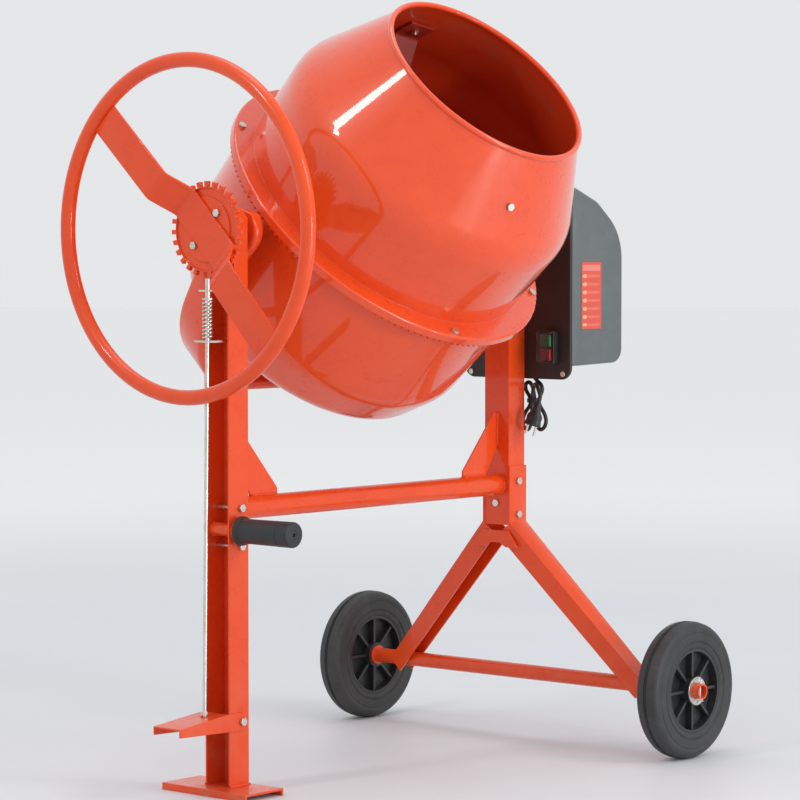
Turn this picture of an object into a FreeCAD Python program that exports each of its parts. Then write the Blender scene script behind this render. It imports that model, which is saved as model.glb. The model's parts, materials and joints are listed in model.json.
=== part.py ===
"""Tilting-drum concrete mixer on two wheels, built from separate parts.

All sizes are in millimetres. +Z is up and the floor is z = 0. The tilt axis runs along X, with the
hand wheel at -X and the motor at +X. The mixer pours towards -Y. Sizes are first laid out about the
drum's centre plane, and the finished parts are moved along X so that the origin lies under the
middle of the whole machine.
"""
import math
import os

import FreeCAD
import Part
from FreeCAD import Placement, Rotation, Vector

os.makedirs("parts", exist_ok=True)

# ---- clearances ----
RUNNING = 0.05          # radial clearance of a shaft in its bore
HOLE = 0.3              # radial clearance of a bolt in its hole
SEAT = 0.3              # gap between a piece and the curved face it sits on

# ---- tilt axis and drum attitude ----
AXIS_Z = 922.0          # height of the tilt axis
DRUM_LEAN = 45.0        # drum axis from the vertical, towards -Y, at rest

# ---- legs ----
SHEET = 3.0             # wall of the leg channels
LEG_WIDTH = 55.0        # along Y
LEG_DEPTH = 45.0        # along X
STAND_X = -343.0        # inner face of the stand leg
MOTOR_X = 334.0         # inner face of the motor leg
LEG_TOP = AXIS_Z - 33.0    # half of the bearing block below the tilt axis
MOTOR_LEG_BOTTOM = 393.0
NECK_Z = LEG_TOP - 92.0 # above this the stand leg's flanges are narrower
NECK_CUT = 13.0

# ---- foot ----
FOOT_LENGTH = 190.0     # along Y
FOOT_WIDTH = 90.0       # along X
FOOT_HEIGHT = 12.0
FOOT_SHEET = 4.0
FOOT_TOE = 34.0         # reach of the foot beyond the leg's open side

# ---- cross tube and gussets ----
CROSS_Z = 465.0
CROSS_R = 19.0
CROSS_WALL = 2.5
GUSSET_SHEET = 4.0
GUSSET_RISE = 112.0
GUSSET_RUN = 97.0
GUSSET_CLIP_X = 33.0
GUSSET_CLIP_Z = 52.0

# ---- bearing blocks and pivot tubes ----
PIVOT_R = 17.0
BLOCK_HEIGHT = 66.0
BLOCK_CHAMFER = 14.0
DRIVE_SHAFT_R = 8.0

# ---- A-frame and axle ----
STRUT_SHEET = 3.5
STRUT_TAB_TOP = 500.0
STRUT_KNEE_Z = 398.0
STRUT_TOP_WIDTH = 48.0
STRUT_TOP_DEPTH = 36.0
STRUT_END_WIDTH = 36.0
STRUT_END_DEPTH = 33.0
STRUT_END_Y = 298.0
BRIDGE_DROP = 30.0
AXLE_X = 402.0
AXLE_R = 13.5
AXLE_WALL = 2.5

# ---- road wheels ----
TYRE_R = 120.0
TYRE_WIDTH = 46.0
TYRE_BORE_R = 74.0
TYRE_SHOULDER = 13.0
WHEEL_Y = 370.0
RIM_WEB = 6.0
RIM_WALL = 5.0
HUB_R = 23.0
SPOKES = 8
WASHER_R = 25.0
WASHER_T = 3.0
COLLAR_R = 18.0         # fixed collar on the axle, inside each road wheel
AXLE_STUB = 12.0        # axle beyond the outer washer

# ---- transport handle ----
HANDLE_INSET = 27.0     # into the stand leg from its inner face
HANDLE_X = STAND_X - HANDLE_INSET
HANDLE_Z = 432.0
STUB_R = 11.0
GRIP_R = 21.0
GRIP_LENGTH = 118.0
GRIP_GAP = 10.0         # bare stub between the leg and the grip

# ---- tilt lock ----
LOCK_PIN_R = 4.0
LOCK_ROD_R = 3.5
ROD_LEAN = 10.0         # the rod leans outwards by this on its way down to the pedal
UPPER_GUIDE_Z = AXIS_Z - 101.0
GUIDE_SHEET = 3.0
GUIDE_HALF = 18.0       # half width of the lower guide plate
GUIDE_SPAN = 79.0       # from the top of the lower guide plate to the upper guide
LOWER_GUIDE_Z = UPPER_GUIDE_Z - GUIDE_SPAN
SPRING_TOP = UPPER_GUIDE_Z - 13.0
SPRING_COIL_R = 7.6
SPRING_WIRE_R = 1.7
SPRING_TURNS = 10
LOCK_TIP_GAP = 2.0      # pin tip below the locking disc when released
PEDAL_PIVOT_INSET = 19.0
PEDAL_PIVOT_X = STAND_X - PEDAL_PIVOT_INSET
PEDAL_PIVOT_Z = 118.0
PEDAL_REACH = 143.0     # from the pivot to the end of the tread
PEDAL_END_X = PEDAL_PIVOT_X - PEDAL_REACH
PEDAL_SHEET = 3.0
PEDAL_SLOT = 5.0        # slot beyond the rod on either side, for the pedal's swing
PEDAL_TOP_Z = PEDAL_PIVOT_Z + 15.0
PEDAL_END_TOP_Z = PEDAL_PIVOT_Z + 3.0
PEDAL_END_BOTTOM_Z = PEDAL_PIVOT_Z - 11.0

# ---- locking disc and hand wheel ----
DISC_R = 78.0
DISC_STAND_OFF = 16.0   # disc beyond the open side of the stand leg
DISC_BACK_X = STAND_X - LEG_DEPTH - DISC_STAND_OFF
DISC_SHEET = 8.0
DISC_LAND = 11.0        # rim outside the disc's recess
DISC_GROOVE_WIDTH = 14.0
DISC_GROOVE_R = DISC_R - DISC_LAND - DISC_GROOVE_WIDTH / 2
DISC_GROOVE_DEPTH = 3.0
NOTCHES = 27
NOTCH_WIDTH = 10.0
NOTCH_DEPTH = 9.0
FLANGE_R = 49.0
FLANGE_T = 6.0
HUB_BOLT_R = 37.0
WHEEL_STAND_OFF = 50.0  # hand wheel's middle plane beyond the disc's face
WHEEL_RIM_X = DISC_BACK_X - DISC_SHEET - WHEEL_STAND_OFF
WHEEL_RIM_R = 271.0     # centre line of the rim tube
WHEEL_TUBE_R = 12.5
STRAP_WIDTH = 58.0
STRAP_T = 5.0
STRAP_FLAT = 64.0       # half length of the flat on the disc
STRAP_JOG = 100.0       # where the strap has left the disc's plane
STRAP_BEND = 12.0       # bend radius at each end of a jog
LOCK_X = DISC_BACK_X - DISC_SHEET / 2   # lock pin's axis, under the middle of the disc's edge
ROD_FOOT_X = LOCK_X - ROD_LEAN

# ---- yoke ----
ARM_X = 320.0
ARM_T = 22.0
ARM_WIDTH = 74.0
YOKE_WALL = 3.0
YOKE_BASE_S = -350.0
YOKE_KNEE_S = -95.0
YOKE_HEEL_X = 262.0
YOKE_HEEL_S = -274.0
YOKE_TOE_X = 137.0
DRUM_SHAFT_R = 14.0
SHAFT_FLANGE_R = 40.0
SHAFT_FLANGE_T = 6.0
SHAFT_TOP_S = -252.0

# ---- drum: distances along its axis from the tilt axis (s) and radii ----
DRUM_SHEET = 2.5
BELLY_R = 281.0         # outside of the lower drum at its flange
LOWER_SIDE_S = -150.0
LOWER_SIDE_R = 272.0
LOWER_HEEL_S = -231.0
LOWER_HEEL_R = 236.0
BOTTOM_S = -262.0
BOTTOM_R = 92.0
JOINT_S = 44.0          # plane where the two halves meet
RIM_FLANGE_R = 305.5
LOWER_FLANGE_R = 301.0
LIP_DROP = 14.0
UPPER_FOOT_R = 268.0    # outside of the upper half at its flange
UPPER_SIDE_S = 196.0
UPPER_SIDE_R = 273.0
MOUTH_S = 350.0
MOUTH_R = 186.5
BEAD_R = 5.0
HUB_BODY_R = 30.0
HUB_FLANGE_R = 66.0
HUB_FLANGE_T = 6.0
HUB_BOTTOM_S = -320.0
FLANGE_BOLTS = 6
FLANGE_BOLT_RING_R = 293.0
FIRST_FLANGE_BOLT = 17.0

# ---- gears ----
GEAR_MODULE = 4.0
RING_TEETH = 147
RING_SEGMENTS = 3
RING_INNER_R = 285.0
RING_OUTER_R = 301.5
PINION_TEETH = 14
PINION_X = 285.5
PINION_FACE = 17.0
ADDENDUM = 3.4
DEDENDUM = 4.8
TOOTH_SHARE = 0.42      # share of the pitch that a tooth fills
RING_SEGMENT_GAP = 0.4

# ---- mixing blades ----
BLADES = 2
BLADE_WIDTH = 50.0
BLADE_T = 4.0
BLADE_FIRST_ANGLE = -106.0
BLADE_STAND_OFF = 62.0
BLADE_TOP_S = 272.0
BLADE_FOOT = 46.0
BLADE_LOW_S = -118.0

# ---- drive and housing ----
PANEL_T = 7.0
PANEL_FRONT_Y = -132.0
PANEL_REAR_Y = 112.0
PANEL_BELOW = 266.0     # panel below and above the tilt axis
PANEL_ABOVE = 86.0
PANEL_BOTTOM_Z = AXIS_Z - PANEL_BELOW
PANEL_TOP_Z = AXIS_Z + PANEL_ABOVE
PANEL_CORNER = 22.0
COVER_DEPTH = 150.0
COVER_BOTTOM_Z = PANEL_BOTTOM_Z + 24.0
COVER_TOP_Z = PANEL_TOP_Z - 4.0
COVER_SHEET = 3.0
COVER_CORNER = 26.0
COVER_BACK_TOP_Z = AXIS_Z - 66.0
COVER_CROWN_DEPTH = 76.0
COVER_CROWN_Z = AXIS_Z + 53.0
BIG_PULLEY_R = 60.0
SMALL_PULLEY_R = 11.0
BELT_WIDTH = 12.0
BELT_T = 4.0
BELT_PLANE = 14.0       # pulley's near face beyond the panel
PULLEY_WIDTH = 15.0
MOTOR_Y = -10.0
MOTOR_Z = AXIS_Z - 174.0
MOTOR_R = 46.0
MOTOR_LENGTH = 92.0
MOTOR_POST_R = 4.0
MOTOR_POST_Y = 40.0
MOTOR_POST_Z = 25.0
SWITCH_Y = -88.0
SWITCH_Z = PANEL_BOTTOM_Z + 57.0
SWITCH_WIDTH = 34.0
SWITCH_HEIGHT = 60.0
SWITCH_DEPTH = 14.0
BUTTON_WIDTH = 22.0
BUTTON_HEIGHT = 20.0
BUTTON_SPACING = 25.0
BUTTON_PROUD = 4.0
BUTTON_TRAVEL = 2.5
LABEL_WIDTH = 58.0
LABEL_HEIGHT = 120.0
LABEL_T = 0.8

# ---- mains cord: short lead, tied hank and plug ----
CORD_R = 3.6
GLAND_R = 8.0
GLAND_LENGTH = 9.0
LEAD_LENGTH = 17.0
CORD_BEHIND = 9.0       # cord beyond the panel
CORD_Y = -36.0
HANK_WIDTH = 62.0
HANK_HEIGHT = 100.0
HANK_DEPTH = 24.0
HANK_WAIST_R = 10.5
TIE_WIDTH = 9.0         # room for the tie between the two bunches of loops

# ---- bolts ----
BOLT_R = 4.0
BOLT_HEAD_R = 7.0
BOLT_HEAD_H = 5.0

# ---- values that follow from the ones above ----
STAND_OPEN_X = STAND_X - LEG_DEPTH
MOTOR_OPEN_X = MOTOR_X + LEG_DEPTH
PANEL_X = MOTOR_OPEN_X
COVER_X = PANEL_X + PANEL_T
COVER_BACK_X = COVER_X + COVER_DEPTH
WHEEL_OUT_X = WHEEL_RIM_X - WHEEL_TUBE_R
ORIGIN_X = (min(WHEEL_OUT_X, PEDAL_END_X) + COVER_BACK_X) / 2
AXIS = Vector(0, 0, AXIS_Z)
DRUM_PLACE = Placement(AXIS, Rotation(Vector(1, 0, 0), DRUM_LEAN))
GEAR_PLANE = PINION_TEETH * GEAR_MODULE / 2
RING_PITCH_R = RING_TEETH * GEAR_MODULE / 2
RING_FACE_S = JOINT_S - DRUM_SHEET
DISC_FRONT_X = DISC_BACK_X - DISC_SHEET
AXLE_Z = TYRE_R

parts = {}


# ---------------------------------------------------------------- shape helpers
def box(x0, x1, y0, y1, z0, z1):
    return Part.makeBox(x1 - x0, y1 - y0, z1 - z0, Vector(x0, y0, z0))


def rod(start, end, radius):
    direction = end - start
    return Part.makeCylinder(radius, direction.Length, start, direction)


def ring(start, end, outer, inner):
    return rod(start, end, outer).cut(rod(start, end, inner))


def along_x(x0, x1, y, z, radius):
    return rod(Vector(x0, y, z), Vector(x1, y, z), radius)


def along_y(y0, y1, x, z, radius):
    return rod(Vector(x, y0, z), Vector(x, y1, z), radius)


def along_z(z0, z1, x, y, radius):
    return rod(Vector(x, y, z0), Vector(x, y, z1), radius)


def polygon_face(points):
    return Part.Face(Part.makePolygon(points + [points[0]]))


def prism(points, direction):
    return polygon_face(points).extrude(direction)


def path_edges(points, radii):
    """Straight runs through the points, with a tangent arc of the given radius at each inner one."""
    edges = []
    last = points[0]
    for before, corner, after, radius in zip(points, points[1:], points[2:], radii):
        into = (corner - before).normalize()
        out = (after - corner).normalize()
        turn = into.getAngle(out)
        reach = radius * math.tan(turn / 2)
        start = corner - into * reach
        end = corner + out * reach
        bisector = (out - into).normalize()
        middle = corner + bisector * (radius / math.cos(turn / 2) - radius)
        if (start - last).Length > 1e-6:
            edges.append(Part.LineSegment(last, start).toShape())
        edges.append(Part.Arc(start, middle, end).toShape())
        last = end
    edges.append(Part.LineSegment(last, points[-1]).toShape())
    return edges


def shift_path(points, radii, distance, normal):
    """The same path moved sideways, to the left as seen against the normal, with matching arcs."""
    runs = [(b - a).normalize() for a, b in zip(points, points[1:])]
    sides = [normal.cross(run) for run in runs]
    moved = [points[0] + sides[0] * distance]
    arcs = []
    for corner, before, after, radius, run in zip(points[1:], sides, sides[1:], radii, runs[1:]):
        moved.append(corner + (before + after) * (distance / (1 + before.dot(after))))
        turns_left = before.dot(run) > 0
        arcs.append(radius - distance if turns_left else radius + distance)
    moved.append(points[-1] + sides[-1] * distance)
    return moved, arcs


def sheet_face(points, radii, thickness, normal):
    """A bent strip in one plane: the path, the same path shifted by the sheet, and two ends."""
    moved, arcs = shift_path(points, radii, thickness, normal)
    edges = path_edges(points, radii)
    edges.append(Part.LineSegment(points[-1], moved[-1]).toShape())
    edges += path_edges(moved[::-1], arcs[::-1])
    edges.append(Part.LineSegment(moved[0], points[0]).toShape())
    return Part.Face(Part.Wire(Part.sortEdges(edges)[0]))


def turned(face):
    return face.revolve(Vector(0, 0, 0), Vector(0, 0, 1), 360)


def in_drum(shape):
    """Moves a shape made about the drum's own axis (+Z) to the tilted drum."""
    shape = shape.copy()
    shape.Placement = DRUM_PLACE.multiply(shape.Placement)
    return shape


def about_drum(shape, angle):
    shape = shape.copy()
    shape.rotate(Vector(0, 0, 0), Vector(0, 0, 1), angle)
    return shape


def about_tilt(shape, angle):
    shape = shape.copy()
    shape.rotate(AXIS, Vector(1, 0, 0), angle)
    return shape


def hexagon(centre, axis, radius, height):
    side = Vector(0, 0, 1) if abs(axis.z) < 0.9 else Vector(1, 0, 0)
    first = axis.cross(side).normalize()
    second = axis.cross(first).normalize()
    points = []
    for corner in range(6):
        angle = math.radians(60 * corner)
        points.append(centre + first * (radius * math.cos(angle)) + second * (radius * math.sin(angle)))
    return prism(points, axis * height)


def bolt(head, axis, grip, radius=BOLT_R, nut=True):
    """A bolt whose head stands on the face at head, with its shank along -axis and a nut beyond grip."""
    scale = radius / BOLT_R
    solid = hexagon(head, axis, BOLT_HEAD_R * scale, BOLT_HEAD_H * scale)
    tail = grip + (BOLT_HEAD_H * scale + 3 if nut else 0)
    solid = solid.fuse(rod(head + axis * 1.0, head - axis * tail, radius))
    if nut:
        solid = solid.fuse(hexagon(head - axis * grip, -axis, BOLT_HEAD_R * scale, BOLT_HEAD_H * scale))
    return solid.removeSplitter()


def bolt_hole(head, axis, grip, radius=BOLT_R):
    return rod(head + axis * 1.0, head - axis * (grip + 1.0), radius + HOLE)


def compound(shapes):
    solids = []
    for shape in shapes:
        solids += shape.Solids
    return Part.makeCompound(solids)


# ---------------------------------------------------------------- frame bolts
Y_OUT = Vector(0, -1, 0)
X_OUT = Vector(-1, 0, 0)
Z_UP = Vector(0, 0, 1)
HALF_LEG = LEG_WIDTH / 2
STRUT_FACE = HALF_LEG + STRUT_SHEET
STAND_MID_X = STAND_X - LEG_DEPTH / 2
MOTOR_MID_X = MOTOR_X + LEG_DEPTH / 2
LEG_BOLT_X = STAND_X - 17.0
LEG_BOLTS = [
    (Vector(LEG_BOLT_X, -HALF_LEG, CROSS_Z + 3), Y_OUT, LEG_WIDTH),
    (Vector(LEG_BOLT_X, -HALF_LEG, CROSS_Z - 60), Y_OUT, LEG_WIDTH),
]
STRUT_BOLTS = [
    (Vector(MOTOR_MID_X, -STRUT_FACE, STRUT_TAB_TOP - 28), Y_OUT, 2 * STRUT_FACE),
    (Vector(MOTOR_MID_X, -STRUT_FACE, STRUT_KNEE_Z + 14), Y_OUT, 2 * STRUT_FACE),
]
WEB_BOLT = (Vector(MOTOR_X, 0, CROSS_Z - 33), X_OUT, SHEET)


def block_bolts(x):
    bolts = []
    for side in (-1, 1):
        y = side * (HALF_LEG - 6.0)
        bolts.append((Vector(x, y, LEG_TOP + BLOCK_HEIGHT), Z_UP, BLOCK_HEIGHT - 8.0))
    return bolts


BLOCK_BOLTS = block_bolts(STAND_MID_X) + block_bolts(MOTOR_MID_X)
FRAME_BOLTS = LEG_BOLTS + STRUT_BOLTS + [WEB_BOLT]


def drill(shape, bolts, radius=BOLT_R):
    for head, axis, grip in bolts:
        shape = shape.cut(bolt_hole(head, axis, grip, radius))
    return shape


# ---------------------------------------------------------------- frame
def channel(x_web, toward, z0, z1):
    """A leg: its web is the face at x_web, and its flanges reach towards the open side."""
    x_open = x_web + toward * LEG_DEPTH
    x_inner = x_web + toward * SHEET
    outer = box(min(x_web, x_open), max(x_web, x_open), -HALF_LEG, HALF_LEG, z0, z1)
    beyond = x_open + toward
    room = HALF_LEG - SHEET
    return outer.cut(box(min(x_inner, beyond), max(x_inner, beyond), -room, room, z0 - 1, z1 + 1))


def stand_leg():
    leg = channel(STAND_X, -1, FOOT_HEIGHT, LEG_TOP)
    neck = prism(
        [
            Vector(STAND_OPEN_X - 1, -HALF_LEG - 1, NECK_Z),
            Vector(STAND_OPEN_X, -HALF_LEG - 1, NECK_Z),
            Vector(STAND_OPEN_X + NECK_CUT, -HALF_LEG - 1, NECK_Z + NECK_CUT),
            Vector(STAND_OPEN_X + NECK_CUT, -HALF_LEG - 1, LEG_TOP + 1),
            Vector(STAND_OPEN_X - 1, -HALF_LEG - 1, LEG_TOP + 1),
        ],
        Vector(0, LEG_WIDTH + 2, 0),
    )
    leg = drill(leg.cut(neck), LEG_BOLTS)
    leg = leg.cut(along_y(-HALF_LEG - 1, HALF_LEG + 1, HANDLE_X, HANDLE_Z, STUB_R + HOLE))
    pedal_pin = (Vector(PEDAL_PIVOT_X, -HALF_LEG, PEDAL_PIVOT_Z), Y_OUT, LEG_WIDTH)
    return drill(leg, [pedal_pin])


def motor_leg():
    return drill(channel(MOTOR_X, 1, MOTOR_LEG_BOTTOM, LEG_TOP), STRUT_BOLTS + [WEB_BOLT])


def foot_plate():
    x0 = STAND_OPEN_X - FOOT_TOE
    x1 = x0 + FOOT_WIDTH
    half = FOOT_LENGTH / 2
    foot = box(x0, x1, -half, half, 0, FOOT_HEIGHT)
    return foot.cut(
        box(x0 + FOOT_SHEET, x1 - FOOT_SHEET, -half - 1, half + 1, -1, FOOT_HEIGHT - FOOT_SHEET)
    )


def cross_tube():
    start = Vector(STAND_X, 0, CROSS_Z)
    end = Vector(MOTOR_X, 0, CROSS_Z)
    return ring(start, end, CROSS_R, CROSS_R - CROSS_WALL)


def gusset(x_face, toward):
    """A flat triangle in the corner of leg and cross tube, with its inner corner clipped."""
    tube_top = CROSS_Z + CROSS_R
    y = -GUSSET_SHEET / 2
    outline = [
        (0, GUSSET_CLIP_Z),
        (0, GUSSET_RISE),
        (8, GUSSET_RISE),
        (GUSSET_RUN, 10),
        (GUSSET_RUN, 0),
        (GUSSET_CLIP_X, 0),
    ]
    points = [Vector(x_face + toward * run, y, tube_top + rise) for run, rise in outline]
    return prism(points, Vector(0, GUSSET_SHEET, 0))


def bearing_block(x_web, toward, bore_r):
    """A block on the leg's top that carries the tilt axis."""
    x0, x1 = sorted((x_web, x_web + toward * (LEG_DEPTH - NECK_CUT)))
    top = LEG_TOP + BLOCK_HEIGHT
    c = BLOCK_CHAMFER
    outline = [
        Vector(x0, -HALF_LEG, LEG_TOP),
        Vector(x0, HALF_LEG, LEG_TOP),
        Vector(x0, HALF_LEG, top - c),
        Vector(x0, HALF_LEG - c, top),
        Vector(x0, c - HALF_LEG, top),
        Vector(x0, -HALF_LEG, top - c),
    ]
    block = prism(outline, Vector(x1 - x0, 0, 0))
    return block.cut(along_x(x0 - 1, x1 + 1, 0, AXIS_Z, bore_r + RUNNING))


def strut_section(x_mid, width, depth, y, z, lean):
    """Corners of a strut's section whose outer edge is at y, z: outer pair first, then inner pair."""
    inward = Vector(0, math.sin(lean), -math.cos(lean)) * depth
    outer = [Vector(x_mid - width / 2, y, z), Vector(x_mid + width / 2, y, z)]
    return outer + [outer[1] + inward, outer[0] + inward]


def strut():
    """The -Y strut: a tab on the motor leg's flange, and a tapering channel down to the axle."""
    y_top = -STRUT_FACE
    y_end = -STRUT_END_Y
    z_end = AXLE_Z
    lean = math.atan2(STRUT_KNEE_Z - z_end, y_top - y_end)
    top = strut_section(MOTOR_MID_X, STRUT_TOP_WIDTH, STRUT_TOP_DEPTH, y_top, STRUT_KNEE_Z, lean)
    end = strut_section(AXLE_X, STRUT_END_WIDTH, STRUT_END_DEPTH, y_end, z_end, lean)
    s = STRUT_SHEET
    inward = Vector(0, math.sin(lean), -math.cos(lean))
    outer = Part.makeLoft([Part.makePolygon(c + [c[0]]) for c in (top, end)], True, True)

    def hollow(corners):
        side = Vector(s, 0, 0)
        wires = [
            corners[0] + side + inward * s,
            corners[1] - side + inward * s,
            corners[2] - side + inward * 2,
            corners[3] + side + inward * 2,
        ]
        return Part.makePolygon(wires + [wires[0]])

    run = (end[0] - top[0]).normalize()
    longer_top = [c - run * 2 for c in top]
    longer_end = [c + run * 2 for c in end]
    body = outer.cut(Part.makeLoft([hollow(longer_top), hollow(longer_end)], True, True))
    below_leg = MOTOR_LEG_BOTTOM - 1.0
    body = body.cut(box(MOTOR_X - 40, MOTOR_OPEN_X + 40, -HALF_LEG, 60, below_leg, STRUT_TAB_TOP))
    body = body.cut(box(MOTOR_X - 40, AXLE_X + 60, -SEAT, 90, 0, STRUT_TAB_TOP))
    tab = box(
        MOTOR_MID_X - STRUT_TOP_WIDTH / 2, MOTOR_MID_X + STRUT_TOP_WIDTH / 2,
        y_top, -HALF_LEG, STRUT_KNEE_Z - 6, STRUT_TAB_TOP,
    )
    body = drill(body.fuse(tab).removeSplitter(), STRUT_BOLTS)
    axle_room = along_y(y_end - 60, y_end + 90, AXLE_X, AXLE_Z, AXLE_R + RUNNING)
    return body.cut(axle_room)


def strut_bridge():
    """A plate behind the struts' inner side walls that ties them together under the leg."""
    x0 = MOTOR_X - (STRUT_TOP_WIDTH - LEG_DEPTH) / 2 - STRUT_SHEET
    half = 30.0
    top = MOTOR_LEG_BOTTOM - 10.0
    plate = prism(
        [
            Vector(x0, -half, top),
            Vector(x0, half, top),
            Vector(x0, half + 22, top - BRIDGE_DROP),
            Vector(x0, half - 6, top - BRIDGE_DROP),
            Vector(x0, half - 20, top - BRIDGE_DROP + 8),
            Vector(x0, 20 - half, top - BRIDGE_DROP + 8),
            Vector(x0, 6 - half, top - BRIDGE_DROP),
            Vector(x0, -half - 22, top - BRIDGE_DROP),
        ],
        Vector(STRUT_SHEET, 0, 0),
    )
    return plate


def axle_end_y():
    return WHEEL_Y + TYRE_WIDTH / 2 + WASHER_T + AXLE_STUB


def axle_tube():
    end = axle_end_y()
    tube = ring(
        Vector(AXLE_X, -end, AXLE_Z), Vector(AXLE_X, end, AXLE_Z), AXLE_R, AXLE_R - AXLE_WALL
    )
    seat = WHEEL_Y - TYRE_WIDTH / 2 - SEAT
    for side in (-1, 1):
        start = Vector(AXLE_X, side * (seat - WASHER_T), AXLE_Z)
        collar = ring(start, Vector(AXLE_X, side * seat, AXLE_Z), COLLAR_R, AXLE_R - AXLE_WALL / 2)
        tube = tube.fuse(collar)
        y = side * (end - AXLE_STUB / 2)
        tube = tube.cut(along_z(AXLE_Z - 30, AXLE_Z + 30, AXLE_X, y, 2.2))
    return tube.removeSplitter()


# ---------------------------------------------------------------- road wheels
def tyre():
    half = TYRE_WIDTH / 2
    s = TYRE_SHOULDER
    profile = [
        Vector(TYRE_BORE_R, 0, -half),
        Vector(TYRE_R - s, 0, -half),
        Vector(TYRE_R - 2, 0, -half + s * 0.75),
        Vector(TYRE_R, 0, -half / 3),
        Vector(TYRE_R, 0, half / 3),
        Vector(TYRE_R - 2, 0, half - s * 0.75),
        Vector(TYRE_R - s, 0, half),
        Vector(TYRE_BORE_R, 0, half),
    ]
    return turned(polygon_face(profile))


def wheel_rim():
    """Hub, spoke ribs, a centre web and the wall that carries the tyre."""
    half = TYRE_WIDTH / 2
    wall_r = TYRE_BORE_R - SEAT
    wall = ring(Vector(0, 0, -half + 3), Vector(0, 0, half - 3), wall_r, wall_r - RIM_WALL)
    hub = along_z(-half, half, 0, 0, HUB_R)
    web = along_z(-RIM_WEB / 2, RIM_WEB / 2, 0, 0, wall_r - 1)
    rim = wall.fuse(hub).fuse(web)
    for number in range(SPOKES):
        rib = box(HUB_R - 3, wall_r - 2, -2.5, 2.5, -half + 7, half - 7)
        rim = rim.fuse(about_drum(rib, 360.0 / SPOKES * number))
    return rim.cut(along_z(-half - 1, half + 1, 0, 0, AXLE_R + RUNNING)).removeSplitter()


def on_axle(shape, side):
    shape = shape.copy()
    turn = Rotation(Vector(1, 0, 0), 90 * side)
    shape.Placement = Placement(Vector(AXLE_X, side * WHEEL_Y, AXLE_Z), turn)
    return shape


def wheel_washers():
    washers = []
    seat = WHEEL_Y + TYRE_WIDTH / 2 + SEAT
    for side in (-1, 1):
        start = Vector(AXLE_X, side * seat, AXLE_Z)
        end = Vector(AXLE_X, side * (seat + WASHER_T), AXLE_Z)
        washers.append(ring(start, end, WASHER_R, AXLE_R + RUNNING))
    return compound(washers)


def split_pins():
    pins = []
    for side in (-1, 1):
        y = side * (axle_end_y() - AXLE_STUB / 2)
        shank = along_z(AXLE_Z - AXLE_R - 7, AXLE_Z + AXLE_R + 5, AXLE_X, y, 2.0)
        eye = ring(
            Vector(AXLE_X - 1.5, y, AXLE_Z + AXLE_R + 8), Vector(AXLE_X + 1.5, y, AXLE_Z + AXLE_R + 8),
            4.5, 2.2,
        )
        pins.append(shank.fuse(eye).removeSplitter())
    return compound(pins)


# ---------------------------------------------------------------- transport handle
def handle_stub():
    inner = HALF_LEG + 4.0
    end = -HALF_LEG - GRIP_GAP - GRIP_LENGTH + 8.0
    stub = rod(Vector(HANDLE_X, inner, HANDLE_Z), Vector(HANDLE_X, end, HANDLE_Z), STUB_R)
    collar = along_y(-HALF_LEG, -HALF_LEG - 3.0, HANDLE_X, HANDLE_Z, STUB_R + 5)
    return stub.fuse(collar).removeSplitter()


def handle_grip():
    start = -HALF_LEG - GRIP_GAP
    end = start - GRIP_LENGTH
    grip = along_y(start, end, HANDLE_X, HANDLE_Z, GRIP_R)
    grip = grip.makeFillet(4.0, [e for e in grip.Edges if e.Curve.TypeId == "Part::GeomCircle"])
    grip = grip.cut(along_y(start + 1, end + 8.0 - SEAT, HANDLE_X, HANDLE_Z, STUB_R + RUNNING))
    return grip.cut(along_y(end - 1, end + 5.0, HANDLE_X, HANDLE_Z, 3.0))


# ---------------------------------------------------------------- tilt lock
def lock_guides():
    web = STAND_X - SHEET
    lower = box(LOCK_X - 13, web, -GUIDE_HALF, GUIDE_HALF, LOWER_GUIDE_Z - GUIDE_SHEET, LOWER_GUIDE_Z)
    upper = box(LOCK_X - 9, web, -12, 12, UPPER_GUIDE_Z, UPPER_GUIDE_Z + GUIDE_SHEET)
    hole = along_z(LOWER_GUIDE_Z - 9, UPPER_GUIDE_Z + 9, LOCK_X, 0, LOCK_PIN_R + 1.2)
    return compound([lower.cut(hole), upper.cut(hole)])


def rod_x(z):
    """The rod leans: its axis as a line from the pedal to the lock pin's foot."""
    share = (z - PEDAL_TOP_Z) / (SPRING_TOP - PEDAL_TOP_Z)
    return ROD_FOOT_X + (LOCK_X - ROD_FOOT_X) * share


LOCK_TIP_Z = AXIS_Z - DISC_R - LOCK_TIP_GAP
ROD_BOTTOM_Z = PEDAL_TOP_Z - 14.0


def lock_rod():
    bottom = Vector(rod_x(ROD_BOTTOM_Z), 0, ROD_BOTTOM_Z)
    top = Vector(rod_x(SPRING_TOP - 3), 0, SPRING_TOP - 3)
    lean = rod(bottom, top, LOCK_ROD_R)
    pin = along_z(SPRING_TOP - 8, LOCK_TIP_Z, LOCK_X, 0, LOCK_PIN_R)
    nut_z = PEDAL_TOP_Z
    nut = hexagon(Vector(rod_x(nut_z), 0, nut_z), Z_UP, 6.5, 5.0)
    collar = along_z(SPRING_TOP, SPRING_TOP + 2.5, LOCK_X, 0, 9.5)
    return lean.fuse(pin).fuse(collar).fuse(nut).removeSplitter()


def lock_spring():
    height = SPRING_TOP - LOWER_GUIDE_Z - 2 * SPRING_WIRE_R - 2 * SEAT
    pitch = height / SPRING_TURNS
    helix = Part.makeHelix(pitch, height, SPRING_COIL_R)
    circle = Part.makeCircle(SPRING_WIRE_R, Vector(SPRING_COIL_R, 0, 0), Vector(0, 1, 0))
    coil = Part.Wire(helix).makePipeShell([Part.Wire(circle)], True, True)
    coil.translate(Vector(LOCK_X, 0, LOWER_GUIDE_Z + SPRING_WIRE_R + SEAT))
    return coil


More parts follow.
